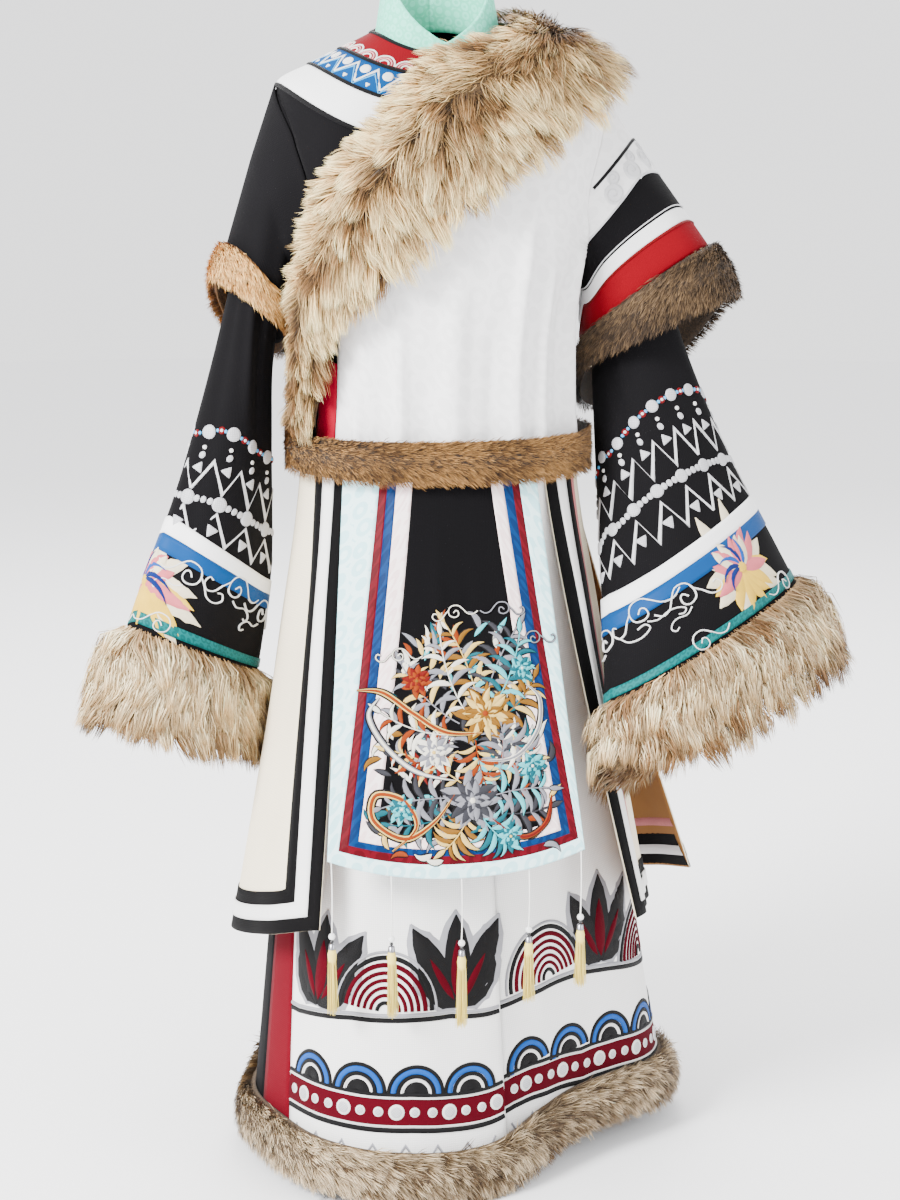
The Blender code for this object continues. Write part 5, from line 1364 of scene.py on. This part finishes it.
for k, (x, z, flip) in enumerate(((-0.070, -0.700, 1), (0.088, -0.690, -1), (-0.006, -0.652, 1),
                                  (0.052, -0.652, -1))):
    for path in (SCROLL, SCROLL_TAIL):
        line = eased(path, 30) * (0.7 * flip, 0.7)
        apron_work.curl(*apron_spot(x, z), line[:, 0], line[:, 1], 0.0026, 0.0014, OUTLINE)
        apron_work.curl(*apron_spot(x, z), line[:, 0], line[:, 1], 0.0018, 0.0019, (IVORY, GREY)[k % 2])
apron_work.finish("apron_embroidery", apron_threads, "apron_centre")


# Tassels: five white threads knotted through the apron's hem, each with a white glass bead, a small black
# bead, a silver cap and a bundle of pale yellow silk. The thread runs on into the silk. Threads and tassels
# hang free.
TASSELS = ((-97, 0.082, 0.097), (-52, 0.070, 0.098), (2, 0.072, 0.106), (55, 0.068, 0.092),
           (97, 0.074, 0.088))
THREAD = 0.0016
SEAM = 0.0003
THREAD_POINTS = 12
SILK_BELOW_THREAD = 0.054
SILK_TOP = 0.0192
STRANDS = 70


def plain(name, colour, roughness, metal=0.0, coat=0.0, grain=240.0):
    """Glass, metal, cotton or silk with faint streaks, so many to the metre."""
    material, tree, shader = fresh(name)
    fit(tree, shader, {"Base Color": clouded(tree, grain, 3.0, linear(colour, 0.8), linear(colour)),
                       "Roughness": roughness, "Metallic": metal, "Coat Weight": coat})
    return material


thread_white = plain("white_cotton_thread", "f2f1ec", 0.6)
bead_white = plain("white_glass_bead", "f4f4f2", 0.12, coat=0.5)
bead_black = plain("black_glass_bead", "0b0b0c", 0.15, coat=0.5)
cap_silver = plain("cast_silver_cap", "9a9aa0", 0.28, metal=1.0)
silk_yellow = plain("pale_yellow_silk", "f2da6c", 0.42, grain=900.0)


def hem_point(across):
    """Middle of the apron's hem, on the straight line between the two nearest points of its plain net."""
    at = (across + 100) / 200 * 6
    low = min(int(at), 5)
    ends = cloth_place(apron)(np.array((low, low + 1)) / 6 * 200 - 100, np.ones(2), CLOTH / 2)
    return mix(ends[0], ends[1], at - low)


def turned(rows):
    """Points and faces of a turned form from rows of radius and height, both ends closed."""
    sides = 16
    turn = np.linspace(0, 2 * math.pi, sides, endpoint=False)
    verts = np.concatenate([np.stack([r * np.cos(turn), r * np.sin(turn), np.full(sides, z)], -1)
                            for r, z in rows])
    faces = [(a * sides + i, a * sides + (i + 1) % sides, (a + 1) * sides + (i + 1) % sides,
              (a + 1) * sides + i) for a in range(len(rows) - 1) for i in range(sides)]
    faces += [tuple(range(sides))[::-1], tuple(range((len(rows) - 1) * sides, len(rows) * sides))]
    return verts, faces


def ball(radius, middle):
    """Rows of a bead with a small hole at each end."""
    angle = np.linspace(0.06, math.pi - 0.06, 9)
    return [(radius * math.sin(a), middle - radius * math.cos(a)) for a in angle]


for number, (across, drop, length) in enumerate(TASSELS, 1):
    top = hem_point(across)
    path = [(top[0] + 0.0006 * math.sin(math.pi * share), top[1] - 0.0006 * math.sin(math.pi * share),
             top[2] - SEAM - drop * share) for share in np.linspace(0, 1, THREAD_POINTS)]
    path += [(top[0], top[1], path[-1][2] - (length - SILK_BELOW_THREAD) * share)
             for share in np.linspace(0, 1, 8)[1:]]
    curve = bpy.data.curves.new("tassel_thread_%d_cotton" % number, "CURVE")
    curve.dimensions = "3D"
    curve.bevel_depth = THREAD / 2
    curve.bevel_resolution = 2
    curve.use_fill_caps = True
    spline = curve.splines.new("POLY")
    spline.points.add(len(path) - 1)
    for point, spot in zip(spline.points, path):
        point.co = (*spot, 1.0)
    curve.materials.append(thread_white)
    thread = placed(curve.name, curve)
    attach(thread, "root")
    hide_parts("tassel_thread_%d" % number)

    chance = np.random.default_rng(number)
    verts, faces, kinds = [], [], []

    def put(new, rings, kind):
        start = sum(len(v) for v in verts)
        verts.append(new)
        faces.extend(tuple(start + i for i in ring) for ring in rings)
        kinds.extend([kind] * len(rings))

    low = np.array((0, 0, -drop - 2 * SEAM))
    for rows, kind in ((ball(0.0040, -0.0042), 0), (ball(0.0021, -0.0100), 1),
                       (((0.0010, -0.0118), (0.0036, -0.0130), (0.0040, -0.0185), (0.0043, -0.0190)), 2),
                       (((0.0030, -0.0188), (0.0040, -0.0200), (0.0052, -0.0250), (0.0048, -0.0320),
                         (0.0022, -0.0400)), 3)):
        new, rings = turned(rows)
        put(new + low, rings, kind)
    for _ in range(STRANDS):
        turn, wide = chance.uniform(0, 2 * math.pi), math.sqrt(chance.uniform(0.02, 1))
        share = np.linspace(0, 1, 6)[:, None]
        lean = chance.normal(0, 0.0009, 2)
        spread = np.interp(share[:, 0], (0, 0.25, 1), (0.0034, 0.0052, 0.0060)) * wide
        middle = np.stack([spread * math.cos(turn) + lean[0] * share[:, 0] ** 2,
                           spread * math.sin(turn) + lean[1] * share[:, 0] ** 2,
                           -SILK_TOP - share[:, 0] * (length - SILK_TOP - chance.uniform(0, 0.006))], -1)
        ring = np.array([(math.cos(a), math.sin(a), 0) for a in (0, 2.094, 4.189)]) * 0.00048
        new = (middle[:, None] + ring[None] * np.array((1, 1, 1, 1, 0.9, 0.4))[:, None, None]).reshape(-1, 3)
        rings = [(3 * a + i, 3 * a + 3 + i, 3 * a + 3 + (i + 1) % 3, 3 * a + (i + 1) % 3) for a in range(5)
                 for i in range(3)]
        put(new + low, rings, 3)
    tassel = shown("tassel_%d_silk" % number, np.concatenate(verts) + (top[0], top[1], top[2]), faces, None,
                   [bead_white, bead_black, cap_silver, silk_yellow], kinds)
    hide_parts("tassel_%d" % number)


# Fur collar: long-haired cream and brown fur sewn on a wide strip, from the right waist over the left
# shoulder and down the back. The hair parts along a line nearer the neck and falls to both sides.
COLLAR_FUR = table("high_angle back_angle high_row low_angle low_row", (
    (-84, -72, 9.55, -62, 9.55), (-82, -70, 8.5, -56, 8.6), (-74, -66, 7.4, -46, 7.6),
    (-57, -55, 6.1, -31, 6.8), (-46, -45, 4.7, -16, 5.75), (-35, -35, 3.6, -4, 4.8), (-25, -25, 2.65, 9, 4.0),
    (-19, -19, 1.55, 22, 3.35), (-9, -9, 0.5, 42, 3.1), (22, 22, 0.1, 66, 3.05), (90, 90, 0.0, 90, 3.05)))
COLLAR_LEVEL = 0.0142


def rounded(share, edge=0.12):
    """Height of a pile across its width, from its edge at 0 to the other at 1."""
    return edge + (1 - edge) * np.sin(math.pi * np.clip(share, 0, 1)) ** 0.7


def collar_spot(side):
    """Place of a spot of the collar's fur: angle, row, level of its skin and depth of its pile."""
    def spot(p, q):
        station = 10 * p
        get = {name: smooth(values, station) for name, values in COLLAR_FUR.items()}
        start = get["high_angle"] if side == "front" else get["back_angle"]
        angle = mix(start, get["low_angle"], q)
        high = mix(0.018, 0.034, np.clip(station / 4, 0, 1)) * rounded(q)
        angle = angle if side == "front" else 180 - angle
        return angle, mix(get["high_row"], get["low_row"], q), COLLAR_LEVEL, high
    return spot


def underfur(name, colour, dark):
    """Dense short undercoat: fine matted tufts, with painted shade between them."""
    material, tree, shader = fresh(name)
    tufts = add(tree, "TexNoise", "Fac", {"Vector": add(tree, "TexCoord", "Object", {}), "Scale": 420.0,
                                          "Detail": 5.0, "Roughness": 0.7})
    part = add(tree, "MapRange", "Result", {"Value": tufts, "From Min": 0.35, "From Max": 0.65})
    # Painted shade: the darker colour goes where the tuft noise is low, between the tufts.
    dye = add(tree, "Mix", "Result", {"Factor": part, "A": linear(dark), "B": linear(colour)},
              data_type="RGBA")
    bump = add(tree, "Bump", "Normal", {"Strength": 0.8, "Distance": 0.002, "Height": tufts})
    fit(tree, shader, {"Base Color": dye, "Normal": bump, "Roughness": 0.95, "Sheen Weight": 0.05})
    return material


def hair_finish(name, roughness=0.52):
    """Guard hair: a soft shine, and each hair's own colours from root to tip, which its mesh carries."""
    material, tree, shader = fresh(name)
    fit(tree, shader, {"Base Color": add(tree, "Attribute", "Color", {}, attribute_name="hair"),
                       "Roughness": roughness, "Sheen Weight": 0.06, "Specular IOR Level": 0.2})
    return material


def pelt(name, node, place, spot, net, span, finish, fill, closed=False):
    """The skin and undercoat of a fur: a closed shell filled to a share of its pile."""
    p, q = grid(np.linspace(0, 1, net[0], endpoint=not closed), np.linspace(*span, net[1]))
    u, v, low, high = spot(p, q)
    edge = np.sin(math.pi * np.linspace(0.04, 0.96, net[1])) ** 0.6
    piece = shell(name, place(u, v, low + high * fill * edge), place(u, v, low + np.zeros_like(high)),
                  [finish], closed)
    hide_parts(node)


def hairs(name, place, spot, count, seed, reach, comb, stand, droop, wide, tones, patch, finish,
          span=(0.06, 0.94), clumps=0.02, pull=0.7, levels=(0.0, 0.35, 0.7, 1.0)):
    """Guard hairs as tapered blades: each bends from its root to its lie and gathers with its neighbours."""
    chance = np.random.default_rng(seed)
    p, q = chance.random(4 * count), chance.uniform(*span, 4 * count)

    def skin(p, q):
        u, v, low, _ = spot(p, q)
        return place(u, v, low)

    here = skin(p, q)
    along, across = (skin(p + 0.002, q) - here) / 0.002, (skin(p, q + 0.01) - here) / 0.01
    weight = np.linalg.norm(np.cross(along, across), axis=-1)
    kept = chance.choice(4 * count, count, replace=False, p=weight / weight.sum())
    p, q, along, across = p[kept], q[kept], unit(along[kept]), unit(across[kept])
    u, v, low, high = spot(p, q)
    root = place(u, v, low + chance.uniform(0.3, 0.5, count) * high)
    out = unit(place(u, v, low + high + 0.004) - root)
    ahead, side_ways = comb(p, q)
    lie = unit(along * np.asarray(ahead)[..., None] + across * np.asarray(side_ways)[..., None]
               + np.array((0.0, 0.0, -droop)) + chance.normal(0, 0.16, (count, 3)))
    start = unit(out * stand + lie * (1 - stand) + chance.normal(0, 0.13, (count, 3)))
    length = reach(p, q) * chance.uniform(0.62, 1.15, count)
    t = np.array(levels)[:, None, None]

    def path(i):
        return root[i] + length[i][:, None] * (start[i] * (t - t * t / 2) + lie[i] * t * t / 2)

    centres = chance.choice(count, max(int(count * clumps), 1), replace=False)
    tree = kdtree.KDTree(len(centres))
    for k, i in enumerate(centres):
        tree.insert(root[i], k)
    tree.balance()
    near = centres[[tree.find(end)[1] for end in root]]
    line = path(np.arange(count))
    line = mix(line, path(near), pull * chance.uniform(0.55, 1.0, count)[None, :, None] * t ** 1.5)
    turn = chance.uniform(-0.7, 0.7, count)[:, None]
    flat = unit(np.cross(unit(start + lie), out))
    flat = unit(flat * np.cos(turn) + out * np.sin(turn))
    taper = np.interp(levels, (0, 0.5, 1), (0.8, 1.0, 0.0))[:-1]
    half = 0.5 * wide * chance.uniform(0.7, 1.3, count)[None, :, None] * taper[:, None, None] * flat[None]
    rings = len(levels) - 1
    verts = np.concatenate([np.stack([line[:-1] - half, line[:-1] + half], 2).reshape(rings, count, 6),
                            np.pad(line[-1:], ((0, 0), (0, 0), (0, 3)))])
    verts = verts.transpose(1, 0, 2).reshape(count, -1, 3)[:, :2 * rings + 1]
    size = 2 * rings + 1
    faces = np.array([i for k in range(rings - 1) for i in (2 * k, 2 * k + 1, 2 * k + 3, 2 * k + 2)]
                     + [2 * rings - 2, 2 * rings - 1, 2 * rings])
    totals = np.array([4] * (rings - 1) + [3])
    loops = (faces[None] + size * np.arange(count)[:, None]).ravel()
    totals = np.tile(totals, count)
    shade = np.clip(patch(p, q) + 0.30 * chance.normal(0, 1, count)[near] + 0.20 * chance.normal(0, 1, count),
                    0, 1)
    dyes = np.array([[linear(code)[:3] for code in row] for row in tones])
    at = np.repeat(np.array(levels), 2)[:-1]
    tone = np.stack([[np.interp(at, (0, 0.45, 1), dyes[k, :, c]) for c in range(3)] for k in range(2)])
    colour = mix(tone[0].T[None], tone[1].T[None], shade[:, None, None])
    colour = np.clip(colour * np.exp(0.2 * chance.normal(0, 1, count))[:, None, None], 0, 1)
    normal = unit(out + 0.45 * flat * chance.normal(0, 1, (count, 1)) + 0.25 * start)
    mesh = bpy.data.meshes.new(name)
    mesh.vertices.add(count * size)
    mesh.vertices.foreach_set("co", verts.astype(np.float32).ravel())
    mesh.loops.add(len(loops))
    mesh.loops.foreach_set("vertex_index", loops.astype(np.int32))
    mesh.polygons.add(len(totals))
    mesh.polygons.foreach_set("loop_start", np.concatenate([[0], np.cumsum(totals)[:-1]]).astype(np.int32))
    mesh.polygons.foreach_set("use_smooth", np.ones(len(totals), bool))
    mesh.update(calc_edges=True)
    dye = mesh.color_attributes.new(name="hair", type="FLOAT_COLOR", domain="POINT")
    opaque = np.pad(colour, ((0, 0), (0, 0), (0, 1)), constant_values=1.0)
    dye.data.foreach_set("color", opaque.astype(np.float32).ravel())
    mesh.normals_split_custom_set_from_vertices(np.repeat(normal, size, axis=0).astype(np.float32))
    mesh.materials.append(finish)
    piece = placed(name, mesh)
    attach(piece, "root")


cream_undercoat = underfur("cream_fur_undercoat", "6e5230", "22180e")
collar_hair = hair_finish("long_guard_hair")
collar_tones = (("5e4526", "d2a262", "f8e8b0"), ("140d08", "38260f", "94683a"))


def collar_comb(p, q):
    part = np.tanh((q - 0.36) * 7)
    return -0.55 + 0.25 * np.sin(23 * p + 5 * q), part * 0.95


def collar_reach(p, q):
    return 0.050 * mix(0.72, 1.0, np.clip(p * 4, 0, 1)) * mix(0.50, 1.0, np.clip(q * 2.2, 0, 1))


def collar_patch(p, q):
    return (0.16 + 0.75 * np.exp(-((q - 0.40 - 0.05 * np.sin(21 * p)) / 0.11) ** 2)
            + 0.35 * np.clip((p - 0.78) / 0.2, 0, 1) + 0.45 * np.clip((0.2 - p) / 0.14, 0, 1)
            + 0.30 * np.sin(37 * p + 9 * q) * np.sin(19 * p - 13 * q))


for word, count, seed, levels in (("front", 26000, 11, (0.0, 0.35, 0.7, 1.0)),
                                  ("back", 12000, 12, (0.0, 0.5, 1.0))):
    node = "fur_collar_" + word
    pelt(node + "_skin", node, over_place, collar_spot(word), (61, 15), (0.07, 0.93), cream_undercoat, 0.55)
    hairs(node + "_hair", over_place, collar_spot(word), count, seed, collar_reach, collar_comb,
          stand=0.52, droop=0.25, wide=0.0010, tones=collar_tones, patch=collar_patch, finish=collar_hair,
          clumps=0.018, pull=0.8, levels=levels)


# Fur belt: short brown fur on a band round the waist, cream at one end and pieced from several skins.
BELT_DEPTH = 0.014
BELT_LEVEL = 0.0126


def belt_line(angle, down):
    """Upright band round the waist; down is in metres from its middle."""
    place = torso(np.asarray(angle, float) + 0 * np.asarray(down, float), WAIST)
    place[..., 2] -= down
    return place


def belt_spot(p, q):
    angle = -180 + 360 * p
    ease = 0.003 * (2 * q - 1) ** 4
    return angle, (q - 0.5) * BELT_HEIGHT, BELT_LEVEL + ease, BELT_DEPTH * rounded(q, 0.3)


belt_place = cloth_place(belt_line)
short_hair = hair_finish("short_guard_hair", 0.6)
brown_undercoat = underfur("brown_fur_undercoat", "3a2a18", "170f09")
pelt("fur_belt_skin", "fur_belt", belt_place, belt_spot, (121, 9), (0.05, 0.95), brown_undercoat, 0.6,
     closed=True)
hairs("fur_belt_hair", belt_place, belt_spot, 25000, 21, lambda p, q: 0.0135 + 0 * p,
      lambda p, q: (0.9, (q - 0.45) * 1.4), stand=0.5, droop=0.2, wide=0.00062,
      tones=(("3c2811", "7c5427", "c0935a"), ("150d06", "33200e", "6c4a24")),
      patch=lambda p, q: (0.45 + 0.35 * np.sin(6.3 * 5 * p + 1.3) * np.sin(6.3 * 3 * p)
                          - 0.75 * np.exp(-((p - 0.27) / 0.05) ** 2) + 0.15 * np.sin(60 * p)),
      finish=short_hair, span=(0.04, 0.96), clumps=0.14, pull=0.4, levels=(0.0, 0.5, 1.0))


# Fur of the sleeves: deep cream cuffs of long hair that darkens to its tips, and short fur round the
# over-sleeves, grey-brown on the left one and golden tan on the right.
HAIR_FALL = 0.45
CUFF_FUR_LENGTH = 0.118
CUFF_FUR_DEPTH = 0.036


def cuff_line(surface):
    """Past a sleeve's hem the hair runs on along the sleeve and falls; down is in metres from the hem."""
    def line(turn, down):
        turn, down = np.broadcast_arrays(np.asarray(turn, float), np.asarray(down, float))
        hem = surface(turn, np.ones_like(turn))
        along = unit(hem - surface(turn, np.full_like(turn, 0.97)))
        fall = unit(along + np.array((0.0, 0.0, -HAIR_FALL)))
        return hem + np.where(down[..., None] > 0, fall, along) * down[..., None]
    return line


def cuff_spot(p, q):
    turn = 360 * p
    depth = mix(0.008, CUFF_FUR_DEPTH, (1 + np.cos(np.radians(turn - 25))) / 2)
    high = depth * np.interp(q, (0, 0.14, 0.45, 0.8, 1), (0.35, 0.75, 1.0, 0.8, 0.25))
    length = CUFF_FUR_LENGTH * mix(1.0, 0.5, ((1 - np.cos(np.radians(turn))) / 2) ** 12)
    return turn, mix(-0.009, length, q), 0.001, high


pale_undercoat = underfur("pale_fur_undercoat", "c09a66", "4e381f")
cuff_hair = hair_finish("cream_guard_hair")
for word, side, seed, brown in (("left", -1, 31, 0.30), ("right", 1, 32, 0.12)):
    node = word + "_cuff_fur"
    place = cloth_place(cuff_line(sleeve_surfaces[word]), side=side)
    pelt(node + "_skin", node, place, cuff_spot, (97, 11), (0.03, 0.50), pale_undercoat, 0.6, closed=True)
    hairs(node + "_hair", place, cuff_spot, 18500, seed, lambda p, q: 0.060 - 0.014 * q,
          lambda p, q: (0.30 * np.sin(19 * p + 7 * q), 0.45 + 0.6 * q), stand=0.66, droop=0.42, wide=0.0012,
          tones=(("d2ab78", "f6e6bc", "c89a5a"), ("6b4a28", "8a6238", "33200f")),
          patch=lambda p, q: (brown + 1.25 * np.clip(q - 0.30, 0, 1) + 0.55 * np.exp(-(q / 0.10) ** 2)
                              + 0.22 * np.sin(43 * p) * np.sin(17 * p + 6 * q)),
          finish=cuff_hair, span=(0.0, 0.80), clumps=0.018, pull=0.75, levels=(0.0, 0.5, 1.0))


def arm_spot(start, end, depth):
    """Place of a spot of the fur at an over-sleeve's end: it is narrower and lower beside the body."""
    def spot(p, q):
        turn = 360 * p
        near_body = (1 - np.cos(np.radians(turn))) / 2
        high = depth * rounded(q, 0.3) * mix(1.0, 0.4, near_body ** 3)
        return turn, mix(start, end * mix(1.0, 0.55, near_body ** 2), q), 0.001, high
    return spot


tan_undercoat = underfur("tan_fur_undercoat", "8a5c2c", "3a2612")
for word, surface, side, start, end, depth, count, coat, tones, seed in (
        ("left", left_over, -1, -0.004, 0.066, 0.023, 23000, brown_undercoat,
         (("2e2116", "433120", "806646"), ("150e08", "241a10", "3a2a1b")), 41),
        ("right", right_over, 1, -0.020, 0.024, 0.017, 12000, tan_undercoat,
         (("92602c", "d8964c", "f4d08e"), ("4a3016", "7c5226", "bc8444")), 42)):
    node = word + "_oversleeve_fur"
    place, spot = cloth_place(cuff_line(surface), side=side), arm_spot(start, end, depth)
    pelt(node + "_skin", node, place, spot, (97, 9), (0.05, 0.93), coat, 0.62, closed=True)
    hairs(node + "_hair", place, spot, count, seed, lambda p, q: 0.0165 + 0 * p,
          lambda p, q: (0.7, 0.25 + 0.9 * (q - 0.3)), stand=0.6, droop=0.2, wide=0.0007, tones=tones,
          patch=lambda p, q: (0.30 + 0.45 * np.clip(q - 0.35, 0, 1) - 0.35 * np.cos(2 * math.pi * (p - 0.03))
                              + 0.2 * np.sin(31 * p + 4 * q)),
          finish=short_hair, span=(0.03, 0.97), clumps=0.11, pull=0.45, levels=(0.0, 0.5, 1.0))


# Hem fur: grey-brown fur sewn on round the skirt's hem, pieced from several skins, so that pale and dark
# patches take turns along it.
HEM_FUR_DEPTH = 0.034
HEM_FUR_HEIGHT = 0.056
HEM_FUR_OVER = 0.012
HEM_FUR_DARK = ((0, 0.03, 0.09, 0.12, 0.16, 0.21, 0.30, 0.44, 0.60, 0.75, 0.95, 1),
                (0.30, 0.12, 0.50, 0.85, 0.35, 0.90, 0.62, 0.75, 0.50, 0.80, 0.55, 0.30))
HEM_LINES = ((-74, -56), (SEAM_ANGLE, SEAM_ANGLE), (88, 104), (97, 118), (276, 288), (286, 304))


def hem_spot(p, q):
    """It lies on the same lines as the panels under it, each an angle at the waist and one at the hem."""
    hem = -56 + 360 * p
    waist = np.interp(hem, [line[1] for line in HEM_LINES], [line[0] for line in HEM_LINES])
    run = 1 + (HEM_FUR_OVER - HEM_FUR_HEIGHT * (1 - q)) / hang_length(skirt, hem)
    return mix(waist, hem, run), run, CLOTH + 0.001, HEM_FUR_DEPTH * rounded(q, 0.25)


hem_place = cloth_place(skirt)
grey_undercoat = underfur("grey_brown_fur_undercoat", "5a452c", "241a10")
pelt("hem_fur_skin", "hem_fur", hem_place, hem_spot, (161, 9), (0.04, 0.93), grey_undercoat, 0.6, closed=True)
hairs("hem_fur_hair", hem_place, hem_spot, 36500, 51, lambda p, q: 0.026 - 0.004 * q,
      lambda p, q: (0.55 + 0.3 * np.sin(29 * p), (q - 0.3) * 1.3), stand=0.56, droop=0.28, wide=0.00085,
      tones=(("80663f", "b29871", "f2dcba"), ("32230f", "281b0d", "664a2a")),
      patch=lambda p, q: (np.interp(p + 0.01 * np.sin(9 * q), *HEM_FUR_DARK) + 0.25 * (q - 0.5)
                          + 0.10 * np.sin(90 * p)),
      finish=short_hair, span=(0.03, 0.97), clumps=0.07, pull=0.55, levels=(0.0, 0.5, 1.0))
